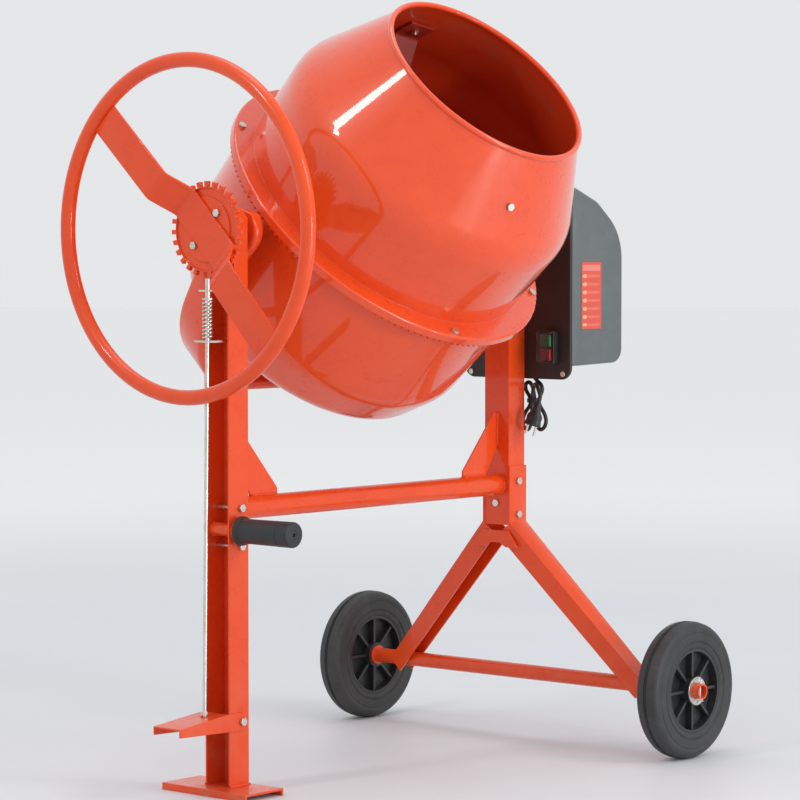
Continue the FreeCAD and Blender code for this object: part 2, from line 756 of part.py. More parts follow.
def lock_pedal():
    """A bent bracket that straddles the stand leg: two side arms and a tread."""
    y_in = HALF_LEG + SEAT
    y_out = y_in + PEDAL_SHEET
    eye_r = 15.0
    tread_back = STAND_OPEN_X - 6.0
    outline = [
        (PEDAL_END_X, PEDAL_END_BOTTOM_Z),
        (PEDAL_END_X, PEDAL_END_TOP_Z),
        (tread_back, PEDAL_TOP_Z),
        (PEDAL_PIVOT_X, PEDAL_PIVOT_Z + eye_r),
        (PEDAL_PIVOT_X, PEDAL_PIVOT_Z - eye_r),
    ]
    arms = []
    for y in (-y_out, y_in):
        points = [Vector(x, y, z) for x, z in outline]
        arm = prism(points, Vector(0, PEDAL_SHEET, 0))
        arms.append(arm.fuse(along_y(y, y + PEDAL_SHEET, PEDAL_PIVOT_X, PEDAL_PIVOT_Z, eye_r)))
    tread = prism(
        [
            Vector(PEDAL_END_X, -y_out, PEDAL_END_TOP_Z),
            Vector(tread_back, -y_out, PEDAL_TOP_Z),
            Vector(tread_back, -y_out, PEDAL_TOP_Z - PEDAL_SHEET),
            Vector(PEDAL_END_X, -y_out, PEDAL_END_TOP_Z - PEDAL_SHEET),
        ],
        Vector(0, 2 * y_out, 0),
    )
    pedal = arms[0].fuse(arms[1]).fuse(tread).removeSplitter()
    slot_x = LOCK_ROD_R + PEDAL_SLOT
    slot_y = LOCK_ROD_R + 1.5
    pedal = pedal.cut(box(ROD_FOOT_X - slot_x, ROD_FOOT_X + slot_x, -slot_y, slot_y, 0, AXIS_Z / 2))
    return pedal.cut(along_y(-y_out - 1, y_out + 1, PEDAL_PIVOT_X, PEDAL_PIVOT_Z, BOLT_R + RUNNING))


def pedal_bolt():
    reach = HALF_LEG + SEAT + PEDAL_SHEET + SEAT
    return bolt(Vector(PEDAL_PIVOT_X, -reach, PEDAL_PIVOT_Z), Y_OUT, 2 * reach)


# ---------------------------------------------------------------- locking disc and hand wheel
def hub_bolt_places():
    places = []
    for side in (-1, 1):
        y = side * HUB_BOLT_R * math.sin(math.radians(DRUM_LEAN))
        z = AXIS_Z - side * HUB_BOLT_R * math.cos(math.radians(DRUM_LEAN))
        places.append((Vector(DISC_FRONT_X, y, z), X_OUT, DISC_SHEET + FLANGE_T))
    return places


def locking_disc():
    disc = along_x(DISC_BACK_X, DISC_FRONT_X, 0, AXIS_Z, DISC_R)
    groove = ring(
        Vector(DISC_FRONT_X - 1, 0, AXIS_Z), Vector(DISC_FRONT_X + DISC_GROOVE_DEPTH, 0, AXIS_Z),
        DISC_GROOVE_R + DISC_GROOVE_WIDTH / 2, DISC_GROOVE_R - DISC_GROOVE_WIDTH / 2,
    )
    disc = disc.cut(groove)
    notch = box(
        DISC_FRONT_X - 1, DISC_BACK_X + 1, -NOTCH_WIDTH / 2, NOTCH_WIDTH / 2,
        AXIS_Z - DISC_R - 5, AXIS_Z - DISC_R + NOTCH_DEPTH,
    )
    for number in range(NOTCHES):
        disc = disc.cut(about_tilt(notch, 360.0 / NOTCHES * number))
    disc = disc.cut(along_x(DISC_FRONT_X - 1, DISC_BACK_X + 1, 0, AXIS_Z, PIVOT_R + RUNNING))
    return drill(disc, hub_bolt_places())


def pivot_tube_stand():
    inner_end = -(ARM_X - ARM_T / 2)
    shaft = along_x(DISC_FRONT_X, inner_end, 0, AXIS_Z, PIVOT_R)
    flange = along_x(DISC_BACK_X, DISC_BACK_X + FLANGE_T, 0, AXIS_Z, FLANGE_R)
    return drill(shaft.fuse(flange).removeSplitter(), hub_bolt_places())


def handwheel_rim():
    rim = Part.makeTorus(WHEEL_RIM_R, WHEEL_TUBE_R, Vector(WHEEL_RIM_X, 0, AXIS_Z), Vector(1, 0, 0))
    return rim.cut(
        Part.makeTorus(WHEEL_RIM_R, WHEEL_TUBE_R - 2.0, Vector(WHEEL_RIM_X, 0, AXIS_Z), Vector(1, 0, 0))
    )


def handwheel_strap():
    """A flat bar across the hand wheel, square to the drum's axis and stepped in to the disc."""
    back = DISC_FRONT_X
    reach = WHEEL_RIM_R - 2.0
    end_x = WHEEL_RIM_X + STRAP_T / 2
    points = [
        Vector(end_x, 0, AXIS_Z - reach),
        Vector(end_x + 8, 0, AXIS_Z - STRAP_JOG),
        Vector(back, 0, AXIS_Z - STRAP_FLAT),
        Vector(back, 0, AXIS_Z + STRAP_FLAT),
        Vector(end_x + 8, 0, AXIS_Z + STRAP_JOG),
        Vector(end_x, 0, AXIS_Z + reach),
    ]
    face = sheet_face(points, [STRAP_BEND] * 4, STRAP_T, Vector(0, -1, 0))
    strap = face.extrude(Vector(0, STRAP_WIDTH, 0))
    strap.translate(Vector(0, -STRAP_WIDTH / 2, 0))
    torus = Part.makeTorus(
        WHEEL_RIM_R, WHEEL_TUBE_R + RUNNING, Vector(WHEEL_RIM_X, 0, AXIS_Z), Vector(1, 0, 0)
    )
    return about_tilt(strap.cut(torus), -DRUM_LEAN)


# ---------------------------------------------------------------- yoke
def yoke_path():
    ends = [
        (-ARM_X, ARM_WIDTH / 2 - 4),
        (-ARM_X, YOKE_KNEE_S),
        (-YOKE_HEEL_X, YOKE_HEEL_S),
        (-YOKE_TOE_X, YOKE_BASE_S),
        (YOKE_TOE_X, YOKE_BASE_S),
        (YOKE_HEEL_X, YOKE_HEEL_S),
        (ARM_X, YOKE_KNEE_S),
        (ARM_X, ARM_WIDTH / 2 - 4),
    ]
    return [Vector(x, 0, s) for x, s in ends]


YOKE_BENDS = [300.0, 230.0, 190.0, 190.0, 230.0, 300.0]


def yoke_body(half_t, half_width, shorten):
    points = yoke_path()
    points[0] = points[0] - Vector(0, 0, shorten)
    points[-1] = points[-1] - Vector(0, 0, shorten)
    normal = Vector(0, 1, 0)
    start, arcs = shift_path(points, YOKE_BENDS, -half_t, normal)
    face = sheet_face(start, arcs, 2 * half_t, normal)
    face.translate(Vector(0, -half_width, 0))
    return face.extrude(Vector(0, 2 * half_width, 0))


def yoke():
    """A box-section arm that runs from one pivot, round the drum's bottom, to the other pivot."""
    body = yoke_body(ARM_T / 2, ARM_WIDTH / 2, 0)
    rounds = []
    for side in (-1, 1):
        x0 = side * ARM_X - ARM_T / 2 - 1
        keep = along_x(x0, x0 + ARM_T + 2, 0, 0, ARM_WIDTH / 2)
        corner = box(x0, x0 + ARM_T + 2, -ARM_WIDTH, ARM_WIDTH, 0, ARM_WIDTH)
        rounds.append(corner.cut(keep))
    for piece in rounds:
        body = body.cut(piece)
    inside = yoke_body(ARM_T / 2 - YOKE_WALL, ARM_WIDTH / 2 - YOKE_WALL, ARM_WIDTH + 2)
    body = body.cut(inside)
    for side, radius in ((-1, PIVOT_R), (1, PIVOT_R + 2)):
        body = body.cut(along_x(side * ARM_X - ARM_T, side * ARM_X + ARM_T, 0, 0, radius + RUNNING))
    bolts = [
        rod(Vector(x, 0, YOKE_BASE_S - ARM_T), Vector(x, 0, YOKE_BASE_S + ARM_T), BOLT_R + HOLE)
        for x in (-SHAFT_BOLT_X, SHAFT_BOLT_X)
    ]
    for hole in bolts:
        body = body.cut(hole)
    return in_drum(body)


SHAFT_BOLT_X = 29.0


def drum_shaft():
    """The stub that the drum turns on, with its flange on the yoke."""
    base = YOKE_BASE_S + ARM_T / 2
    shaft = along_z(base, SHAFT_TOP_S, 0, 0, DRUM_SHAFT_R)
    flange = along_z(base, base + SHAFT_FLANGE_T, 0, 0, SHAFT_FLANGE_R)
    shape = shaft.fuse(flange).removeSplitter()
    for x in (-SHAFT_BOLT_X, SHAFT_BOLT_X):
        shape = shape.cut(along_z(base - 1, base + SHAFT_FLANGE_T + 1, x, 0, BOLT_R + HOLE))
    return in_drum(shape)


def yoke_bolts():
    base = YOKE_BASE_S - ARM_T / 2
    bolts = []
    for x in (-SHAFT_BOLT_X, SHAFT_BOLT_X):
        bolts.append(bolt(Vector(x, 0, base), Vector(0, 0, -1), ARM_T + SHAFT_FLANGE_T))
    return in_drum(compound(bolts))


def pivot_tube_motor():
    start = ARM_X - ARM_T / 2
    end = MOTOR_X + LEG_DEPTH - NECK_CUT + 3.0
    return ring(
        Vector(start, 0, AXIS_Z), Vector(end, 0, AXIS_Z), PIVOT_R + 2, DRIVE_SHAFT_R + RUNNING
    )


# ---------------------------------------------------------------- drum
NORMAL = Vector(0, 1, 0)


def flange_bolt_angles():
    step = 360.0 / FLANGE_BOLTS
    return [FIRST_FLANGE_BOLT + step * number for number in range(FLANGE_BOLTS)]


def flange_holes(s0, s1):
    holes = []
    for angle in flange_bolt_angles():
        hole = along_z(s0, s1, FLANGE_BOLT_RING_R, 0, BOLT_R + HOLE)
        holes.append(about_drum(hole, angle))
    return holes


def lower_profile():
    """Outer line of the lower half, from its flange down to the middle of its bottom."""
    points = [
        Vector(LOWER_FLANGE_R, 0, JOINT_S - DRUM_SHEET),
        Vector(BELLY_R, 0, JOINT_S - DRUM_SHEET),
        Vector(LOWER_SIDE_R, 0, LOWER_SIDE_S),
        Vector(LOWER_HEEL_R, 0, LOWER_HEEL_S),
        Vector(BOTTOM_R, 0, BOTTOM_S),
        Vector(HUB_BODY_R + SEAT, 0, BOTTOM_S),
    ]
    return points, [3.0, 80.0, 46.0, 60.0]


def lower_drum():
    points, arcs = lower_profile()
    drum = turned(sheet_face(points, arcs, DRUM_SHEET, NORMAL))
    for hole in flange_holes(JOINT_S - 9, JOINT_S + 9):
        drum = drum.cut(hole)
    return in_drum(drill_blades(drum))


def upper_drum():
    """Upper half with a turned-down lip round its flange and a rolled bead at the mouth."""
    points = [
        Vector(RIM_FLANGE_R - DRUM_SHEET, 0, JOINT_S - LIP_DROP + DRUM_SHEET),
        Vector(RIM_FLANGE_R - DRUM_SHEET, 0, JOINT_S),
        Vector(UPPER_FOOT_R - DRUM_SHEET, 0, JOINT_S),
        Vector(UPPER_SIDE_R - DRUM_SHEET, 0, UPPER_SIDE_S),
        Vector(MOUTH_R - DRUM_SHEET, 0, MOUTH_S),
    ]
    face = sheet_face(points, [1.5, 3.0, 92.0], DRUM_SHEET, NORMAL)
    drum = turned(face)
    bead = Part.makeTorus(MOUTH_R, BEAD_R, Vector(0, 0, MOUTH_S), Vector(0, 0, 1))
    drum = drum.fuse(bead).removeSplitter()
    for hole in flange_holes(JOINT_S - 9, JOINT_S + 9):
        drum = drum.cut(hole)
    return in_drum(drill_blades(drum))


def drum_hub():
    """The bearing housing under the drum's bottom."""
    body = along_z(HUB_BOTTOM_S, BOTTOM_S + 8, 0, 0, HUB_BODY_R)
    flange = along_z(BOTTOM_S - HUB_FLANGE_T, BOTTOM_S, 0, 0, HUB_FLANGE_R)
    cap = along_z(BOTTOM_S + 8, BOTTOM_S + 14, 0, 0, HUB_BODY_R)
    hub = body.fuse(flange).fuse(cap).removeSplitter()
    bore = along_z(HUB_BOTTOM_S - 1, SHAFT_TOP_S + SEAT, 0, 0, DRUM_SHAFT_R + RUNNING)
    return in_drum(hub.cut(bore))


def flange_bolts():
    top = JOINT_S + DRUM_SHEET
    bolts = []
    for angle in flange_bolt_angles():
        single = bolt(Vector(FLANGE_BOLT_RING_R, 0, top), Z_UP, top - GEAR_PLANE - 7.0, nut=False)
        bolts.append(about_drum(single, angle))
    return in_drum(compound(bolts))


# ---------------------------------------------------------------- mixing blades
def upper_wall_run():
    """Inner line of the cone from the belly to the mouth: a point on it and its direction."""
    low = Vector(UPPER_SIDE_R - DRUM_SHEET, 0, UPPER_SIDE_S)
    high = Vector(MOUTH_R - DRUM_SHEET, 0, MOUTH_S)
    return low, (high - low).normalize()


def blade_seats():
    """Where the blade's two feet stand, each as point, direction up the wall and inward normal."""
    low, run = upper_wall_run()
    top = low + run * ((BLADE_TOP_S - low.z) / run.z)
    side_a = Vector(BELLY_R - DRUM_SHEET, 0, JOINT_S)
    side_b = Vector(LOWER_SIDE_R - DRUM_SHEET, 0, LOWER_SIDE_S)
    lower_run = (side_a - side_b).normalize()
    foot = side_b + lower_run * ((BLADE_LOW_S - side_b.z) / lower_run.z)
    return [(top, run), (foot, lower_run)]


def wall_gap(radius):
    """A flat foot on a round wall stands off by the sag of its half width."""
    return BLADE_WIDTH ** 2 / (8 * radius) + SEAT


def blade_shape():
    (top, top_run), (foot, foot_run) = blade_seats()
    top_in = Vector(-top_run.z, 0, top_run.x)
    foot_in = Vector(-foot_run.z, 0, foot_run.x)
    top_seat = top + top_in * (wall_gap(top.x) + 1.0)
    foot_seat = foot + foot_in * (wall_gap(foot.x) + 1.0)
    half = BLADE_FOOT / 2
    reach = BELLY_R - DRUM_SHEET - BLADE_STAND_OFF
    points = [
        top_seat + top_run * half,
        top_seat - top_run * half,
        Vector(reach - 10, 0, top_seat.z - 70),
        Vector(reach - 10, 0, foot_seat.z + 92),
        foot_seat + foot_run * half,
        foot_seat - foot_run * half,
    ]
    face = sheet_face(points, [12.0, 40.0, 40.0, 12.0], BLADE_T, NORMAL)
    blade = face.extrude(Vector(0, BLADE_WIDTH, 0))
    blade.translate(Vector(0, -BLADE_WIDTH / 2, 0))
    return blade


def blade_bolt_list():
    """One bolt through the upper foot of each blade, from outside the drum. The lower foot is welded."""
    seat, run = blade_seats()[0]
    inward = Vector(-run.z, 0, run.x)
    head = seat - inward * (DRUM_SHEET + SEAT)
    grip = DRUM_SHEET + SEAT + wall_gap(seat.x) + 1.0 + BLADE_T
    return [(head, inward * -1, grip)]


def blade_angles():
    return [BLADE_FIRST_ANGLE + 360.0 / BLADES * number for number in range(BLADES)]


def drill_blades(shape):
    for angle in blade_angles():
        for head, axis, grip in blade_bolt_list():
            shape = shape.cut(about_drum(bolt_hole(head, axis, grip), angle))
    return shape


def blade(angle):
    shape = drill(blade_shape(), blade_bolt_list())
    return in_drum(about_drum(shape, angle))


def blade_bolts():
    bolts = []
    for angle in blade_angles():
        for head, axis, grip in blade_bolt_list():
            bolts.append(about_drum(bolt(head, axis, grip), angle))
    return in_drum(compound(bolts))


# ---------------------------------------------------------------- gears
def ring_gear():
    """A crown gear in segments: a flat ring under the drum's flange with teeth that face the pinion."""
    root = GEAR_PLANE + DEDENDUM
    tip = GEAR_PLANE - ADDENDUM
    pitch = 360.0 / RING_TEETH
    base_half = math.radians(pitch * (TOOTH_SHARE / 2 + 0.07))
    tip_half = math.radians(pitch * (TOOTH_SHARE / 2 - 0.07))

    def section(radius):
        points = [
            Vector(radius, -radius * math.tan(base_half), root + 0.5),
            Vector(radius, -radius * math.tan(tip_half), tip),
            Vector(radius, radius * math.tan(tip_half), tip),
            Vector(radius, radius * math.tan(base_half), root + 0.5),
        ]
        return Part.makePolygon(points + [points[0]])

    tooth = Part.makeLoft([section(RING_INNER_R + 0.6), section(RING_OUTER_R - 0.6)], True, True)
    per_segment = RING_TEETH // RING_SEGMENTS
    span = 360.0 / RING_SEGMENTS
    gap = math.degrees(RING_SEGMENT_GAP / RING_OUTER_R)
    profile = polygon_face(
        [
            Vector(RING_INNER_R, 0, root),
            Vector(RING_OUTER_R, 0, root),
            Vector(RING_OUTER_R, 0, RING_FACE_S),
            Vector(RING_INNER_R, 0, RING_FACE_S),
        ]
    )
    body = profile.revolve(Vector(0, 0, 0), Vector(0, 0, 1), span - gap)
    teeth = [about_drum(tooth, pitch * (number + 0.5) - gap / 2) for number in range(per_segment)]
    segment = body.multiFuse(teeth)
    segments = [about_drum(segment, span * number + gap / 2) for number in range(RING_SEGMENTS)]
    holes = flange_holes(GEAR_PLANE + 6.0, JOINT_S + 1)
    drilled = []
    for shape in segments:
        for hole in holes:
            shape = shape.cut(hole)
        drilled.append(shape)
    return in_drum(compound(drilled))


def pinion_outline(pitch_r):
    """Straight-sided teeth round the pinion, cut so that they run in the ring's gaps."""
    points = []
    step = 2 * math.pi / PINION_TEETH
    root_half = step * (TOOTH_SHARE / 2 + 0.06)
    tip_half = step * (TOOTH_SHARE / 2 - 0.09)
    for number in range(PINION_TEETH):
        middle = step * number
        corners = [
            (pitch_r - DEDENDUM, middle - root_half),
            (pitch_r + ADDENDUM, middle - tip_half),
            (pitch_r + ADDENDUM, middle + tip_half),
            (pitch_r - DEDENDUM, middle + root_half),
        ]
        for radius, angle in corners:
            points.append(Vector(PINION_X, radius * math.sin(angle), radius * math.cos(angle)))
    return points


def pinion():
    """The driving gear on the tilt axis. At rest a gap of its own faces a tooth of the ring."""
    gear = prism(pinion_outline(GEAR_PLANE), Vector(PINION_FACE, 0, 0))
    gear = gear.cut(along_x(PINION_X - 1, PINION_X + PINION_FACE + 1, 0, 0, DRIVE_SHAFT_R + RUNNING))
    return in_drum(about_x(gear, PINION_PHASE))


def about_x(shape, angle):
    shape = shape.copy()
    shape.rotate(Vector(0, 0, 0), Vector(1, 0, 0), angle)
    return shape


# the ring has a tooth centred at half a pitch from +X, so a pinion tooth stands on +X itself
PINION_PHASE = 0.0


def drive_shaft():
    end = COVER_X + BELT_PLANE + PULLEY_WIDTH + 6.0
    return along_x(PINION_X - 4.0, end, 0, AXIS_Z, DRIVE_SHAFT_R)


def large_pulley():
    x0 = COVER_X + BELT_PLANE
    x1 = x0 + PULLEY_WIDTH
    wheel = along_x(x0, x1, 0, AXIS_Z, BIG_PULLEY_R)
    dish = ring(
        Vector(x0 + 5, 0, AXIS_Z), Vector(x1 + 1, 0, AXIS_Z), BIG_PULLEY_R - 8, DRIVE_SHAFT_R + 10
    )
    wheel = wheel.cut(dish)
    return wheel.cut(along_x(x0 - 1, x1 + 1, 0, AXIS_Z, DRIVE_SHAFT_R + RUNNING))


def motor_pulley():
    x0 = COVER_X + BELT_PLANE
    x1 = x0 + PULLEY_WIDTH
    pulley = along_x(x0, x1, MOTOR_Y, MOTOR_Z, SMALL_PULLEY_R)
    shaft = along_x(x0, MOTOR_FACE_X + 30, MOTOR_Y, MOTOR_Z, 6.0)
    return pulley.fuse(shaft).removeSplitter()


MOTOR_FACE_X = COVER_X + BELT_PLANE + PULLEY_WIDTH + 7.0


def motor():
    body = along_x(MOTOR_FACE_X, MOTOR_FACE_X + MOTOR_LENGTH, MOTOR_Y, MOTOR_Z, MOTOR_R)
    plate = box(
        MOTOR_FACE_X, MOTOR_FACE_X + 6, MOTOR_Y - MOTOR_POST_Y - 8, MOTOR_Y + MOTOR_POST_Y + 8,
        MOTOR_Z - MOTOR_POST_Z - 8, MOTOR_Z + MOTOR_POST_Z + 8,
    )
    body = body.fuse(plate)
    for y in (-MOTOR_POST_Y, MOTOR_POST_Y):
        for z in (-MOTOR_POST_Z, MOTOR_POST_Z):
            post = along_x(COVER_X, MOTOR_FACE_X + 1, MOTOR_Y + y, MOTOR_Z + z, MOTOR_POST_R)
            body = body.fuse(post)
    bore = along_x(MOTOR_FACE_X - 1, MOTOR_FACE_X + 32, MOTOR_Y, MOTOR_Z, 6.0 + RUNNING)
    return body.cut(bore).removeSplitter()


def belt_outline(extra, x0, x1):
    """The space inside a loop round both pulleys, standing off them by extra."""
    big = Vector(x0, 0, AXIS_Z)
    small = Vector(x0, MOTOR_Y, MOTOR_Z)
    big_r = BIG_PULLEY_R + extra
    small_r = SMALL_PULLEY_R + extra
    span = small - big
    line = math.atan2(span.y, -span.z)
    wrap = math.acos((big_r - small_r) / span.Length)
    points = []
    for side in (-1, 1):
        angle = line + side * wrap
        away = Vector(0, math.sin(angle), -math.cos(angle))
        points.append((big + away * big_r, small + away * small_r))
    loop = prism([points[0][0], points[1][0], points[1][1], points[0][1]], Vector(x1 - x0, 0, 0))
    loop = loop.fuse(along_x(x0, x1, 0, AXIS_Z, big_r))
    return loop.fuse(along_x(x0, x1, MOTOR_Y, MOTOR_Z, small_r)).removeSplitter()


def drive_belt():
    x0 = COVER_X + BELT_PLANE + (PULLEY_WIDTH - BELT_WIDTH) / 2
    x1 = x0 + BELT_WIDTH
    return belt_outline(SEAT + BELT_T, x0, x1).cut(belt_outline(SEAT, x0 - 1, x1 + 1))


# ---------------------------------------------------------------- housing
def rounded_plate(x0, x1, y0, y1, z0, z1, radius):
    plate = box(x0, x1, y0, y1, z0, z1)
    edges = [e for e in plate.Edges if abs(e.tangentAt(e.FirstParameter).x) > 0.99]
    return plate.makeFillet(radius, edges)


def housing_panel():
    panel = rounded_plate(
        PANEL_X, COVER_X, PANEL_FRONT_Y, PANEL_REAR_Y, PANEL_BOTTOM_Z, PANEL_TOP_Z, PANEL_CORNER
    )
    return panel.cut(along_x(PANEL_X - 1, COVER_X + 1, 0, AXIS_Z, DRIVE_SHAFT_R + 1.0))


def cover_body(inset, x0):
    """The cover's outside, or with an inset its inside, as one solid."""
    top = COVER_TOP_Z - inset
    bottom = COVER_BOTTOM_Z + inset
    back = COVER_BACK_X - inset
    crown = Vector(COVER_X + COVER_CROWN_DEPTH - inset * 0.4, 0, COVER_CROWN_Z - inset)
    points = [
        Vector(x0, 0, bottom),
        Vector(back, 0, bottom + 4),
        Vector(back, 0, COVER_BACK_TOP_Z + 62),
        crown,
        Vector(x0, 0, top),
    ]
    edges = path_edges(points, [COVER_CORNER - inset, 96.0 - inset, 60.0 - inset])
    edges.append(Part.LineSegment(points[-1], points[0]).toShape())
    face = Part.Face(Part.Wire(Part.sortEdges(edges)[0]))
    face.translate(Vector(0, PANEL_FRONT_Y + 1 + inset, 0))
    return face.extrude(Vector(0, PANEL_REAR_Y - PANEL_FRONT_Y - 2 - 2 * inset, 0))


def housing_cover():
    outside = cover_body(0, COVER_X)
    sides = []
    for edge in outside.Edges:
        middle = edge.valueAt((edge.FirstParameter + edge.LastParameter) / 2)
        on_side = abs(middle.y - PANEL_FRONT_Y - 1) < 0.01 or abs(middle.y - PANEL_REAR_Y + 1) < 0.01
        if on_side and middle.x > COVER_X + 1:
            sides.append(edge)
    outside = outside.makeFillet(COVER_SHEET * 2, sides)
    return outside.cut(cover_body(COVER_SHEET, COVER_X - 1))


def cover_screws():
    screws = []
    for y in (PANEL_FRONT_Y + 16, PANEL_REAR_Y - 16):
        for z in (PANEL_BOTTOM_Z + 10, PANEL_TOP_Z - 18):
            head = Vector(PANEL_X, y, z)
            screws.append(along_x(head.x - 2.5, head.x, y, z, 5.0))
    return compound(screws)


def label_plate():
    y = PANEL_FRONT_Y + 1
    x0 = COVER_X + 26.0
    z0 = COVER_BOTTOM_Z + 66.0
    return box(x0, x0 + LABEL_WIDTH, y - LABEL_T, y, z0, z0 + LABEL_HEIGHT)


def button_place(upper):
    side = 1 if upper else -1
    return SWITCH_Z + side * BUTTON_SPACING / 2


def switch_box():
    x0 = PANEL_X - SWITCH_DEPTH
    half = SWITCH_WIDTH / 2
    z0 = SWITCH_Z - SWITCH_HEIGHT / 2
    case = rounded_plate(
        x0, PANEL_X, SWITCH_Y - half, SWITCH_Y + half, z0, z0 + SWITCH_HEIGHT, 4.0
    )
    for upper in (True, False):
        z = button_place(upper)
        w = BUTTON_WIDTH / 2 + SEAT
        h = BUTTON_HEIGHT / 2 + SEAT
        case = case.cut(box(x0 - 1, x0 + 10, SWITCH_Y - w, SWITCH_Y + w, z - h, z + h))
    return case


def button(upper):
    x0 = PANEL_X - SWITCH_DEPTH
    z = button_place(upper)
    w = BUTTON_WIDTH / 2
    h = BUTTON_HEIGHT / 2
    deep = 10.0 - BUTTON_TRAVEL - SEAT
    cap = box(x0 - BUTTON_PROUD, x0 + deep, SWITCH_Y - w, SWITCH_Y + w, z - h, z + h)
    front = [e for e in cap.Edges if abs(e.CenterOfMass.x - (x0 - BUTTON_PROUD)) < 0.01]
    return cap.makeFillet(1.5, front)


# ---------------------------------------------------------------- mains cord
CORD_X = COVER_X + CORD_BEHIND
GLAND_TOP_Z = COVER_BOTTOM_Z
GLAND_BOTTOM_Z = GLAND_TOP_Z - GLAND_LENGTH
HANK_TOP_Z = GLAND_BOTTOM_Z - LEAD_LENGTH
HANK_WAIST_Z = HANK_TOP_Z - HANK_HEIGHT * 0.36


def cord_gland():
    top = Vector(CORD_X, CORD_Y, GLAND_TOP_Z)
    cone = Part.makeCone(GLAND_R, CORD_R + 1.6, GLAND_LENGTH, top, Vector(0, 0, -1))
    return cone.cut(along_z(GLAND_BOTTOM_Z - 1, GLAND_BOTTOM_Z + 5, CORD_X, CORD_Y, CORD_R + 0.3))


def cord_lead():
    """One straight run from the gland to the top of the hank."""
    return along_z(HANK_TOP_Z, GLAND_BOTTOM_Z, CORD_X, CORD_Y, CORD_R)


def lobe(z0, z1):
    y0 = CORD_Y - HANK_WIDTH / 2
    half = HANK_DEPTH / 2
    solid = box(CORD_X - half, CORD_X + half, y0, y0 + HANK_WIDTH, z0, z1)
    upright = [e for e in solid.Edges if abs(e.tangentAt(e.FirstParameter).x) > 0.99]
    return solid.makeFillet(12.0, upright)


def cord_hank():
    """The outer shape of the tied loops: a small bunch above the tie and a longer one below."""
    half = TIE_WIDTH / 2
    upper = lobe(HANK_WAIST_Z + half, HANK_TOP_Z)
    lower = lobe(HANK_TOP_Z - HANK_HEIGHT, HANK_WAIST_Z - half)
    waist = along_z(HANK_WAIST_Z - half - 1, HANK_WAIST_Z + half + 1, CORD_X, CORD_Y, HANK_WAIST_R)
    return upper.fuse(lower).fuse(waist).removeSplitter()


PLUG_Y = CORD_Y - 27.0
PLUG_X = CORD_X - HANK_DEPTH / 2 - 17.0 - SEAT
PLUG_TOP_Z = HANK_WAIST_Z - 8.0


def cord_plug():
    """A two-pin plug that hangs in front of the lower loops, pins down."""
    neck = Part.makeCone(6.0, 8.5, 16.0, Vector(PLUG_X, PLUG_Y, PLUG_TOP_Z), Vector(0, 0, -1))
    body_top = PLUG_TOP_Z - 16.0
    body = Part.makeCone(15.0, 17.0, 24.0, Vector(PLUG_X, PLUG_Y, body_top), Vector(0, 0, -1))
    face_z = body_top - 24.0
    plug = neck.fuse(body)
    for side in (-1, 1):
        plug = plug.fuse(along_z(face_z - 18.0, face_z + 1, PLUG_X, PLUG_Y + side * 9.5, 2.4))
    link = along_x(PLUG_X, CORD_X - HANK_DEPTH / 2, PLUG_Y, PLUG_TOP_Z - 12.0, 3.0)
    return plug.fuse(link).removeSplitter()


# ---------------------------------------------------------------- all parts
def build():
    parts["stand_leg"] = stand_leg()
    parts["motor_leg"] = motor_leg()
    parts["foot_plate"] = foot_plate()
    parts["cross_tube"] = cross_tube()
    parts["gusset_stand"] = gusset(STAND_X, 1)
    parts["gusset_motor"] = gusset(MOTOR_X, -1)
    parts["bearing_stand"] = bearing_block(STAND_X, -1, PIVOT_R)
    parts["bearing_motor"] = bearing_block(MOTOR_X, 1, PIVOT_R + 2)
    front = strut()
    parts["strut_front"] = front
    parts["strut_rear"] = front.mirror(Vector(0, 0, 0), Vector(0, 1, 0))
    parts["strut_bridge"] = strut_bridge()
    parts["axle_tube"] = axle_tube()
    parts["frame_bolts"] = compound([bolt(*place) for place in FRAME_BOLTS])
    parts["handle_stub"] = handle_stub()
    parts["handle_grip"] = handle_grip()
    parts["lock_guides"] = lock_guides()
    parts["lock_rod"] = lock_rod()
    parts["lock_spring"] = lock_spring()
    parts["lock_pedal"] = lock_pedal()
    parts["pedal_bolt"] = pedal_bolt()
    parts["locking_disc"] = locking_disc()
    parts["pivot_tube_stand"] = pivot_tube_stand()
    parts["hub_bolts"] = compound([bolt(*place, nut=False) for place in hub_bolt_places()])
    parts["handwheel_rim"] = handwheel_rim()
    parts["handwheel_strap"] = handwheel_strap()
    parts["yoke"] = yoke()
    parts["pivot_tube_motor"] = pivot_tube_motor()
    parts["drum_shaft"] = drum_shaft()
    parts["yoke_bolts"] = yoke_bolts()
    parts["drum_hub"] = drum_hub()
    parts["lower_drum"] = lower_drum()
    parts["upper_drum"] = upper_drum()
    parts["ring_gear"] = ring_gear()
    parts["flange_bolts"] = flange_bolts()
    for number, angle in enumerate(blade_angles()):
        parts["blade_" + "ab"[number]] = blade(angle)
    parts["blade_bolts"] = blade_bolts()
    parts["pinion"] = pinion()
    parts["drive_shaft"] = drive_shaft()
    parts["large_pulley"] = large_pulley()
    parts["drive_belt"] = drive_belt()
    parts["motor"] = motor()
    parts["motor_pulley"] = motor_pulley()
    parts["housing_panel"] = housing_panel()
    parts["housing_cover"] = housing_cover()
    parts["cover_screws"] = cover_screws()
    parts["label_plate"] = label_plate()
    parts["switch_box"] = switch_box()
    parts["start_button"] = button(True)
    parts["stop_button"] = button(False)
    parts["cord_gland"] = cord_gland()
    parts["cord_lead"] = cord_lead()
    parts["cord_hank"] = cord_hank()
    parts["cord_plug"] = cord_plug()
    for side, place in ((-1, "front"), (1, "rear")):
        parts["wheel_rim_" + place] = on_axle(wheel_rim(), side)
        parts["tyre_" + place] = on_axle(tyre(), side)
    parts["wheel_washers"] = wheel_washers()
    parts["split_pins"] = split_pins()


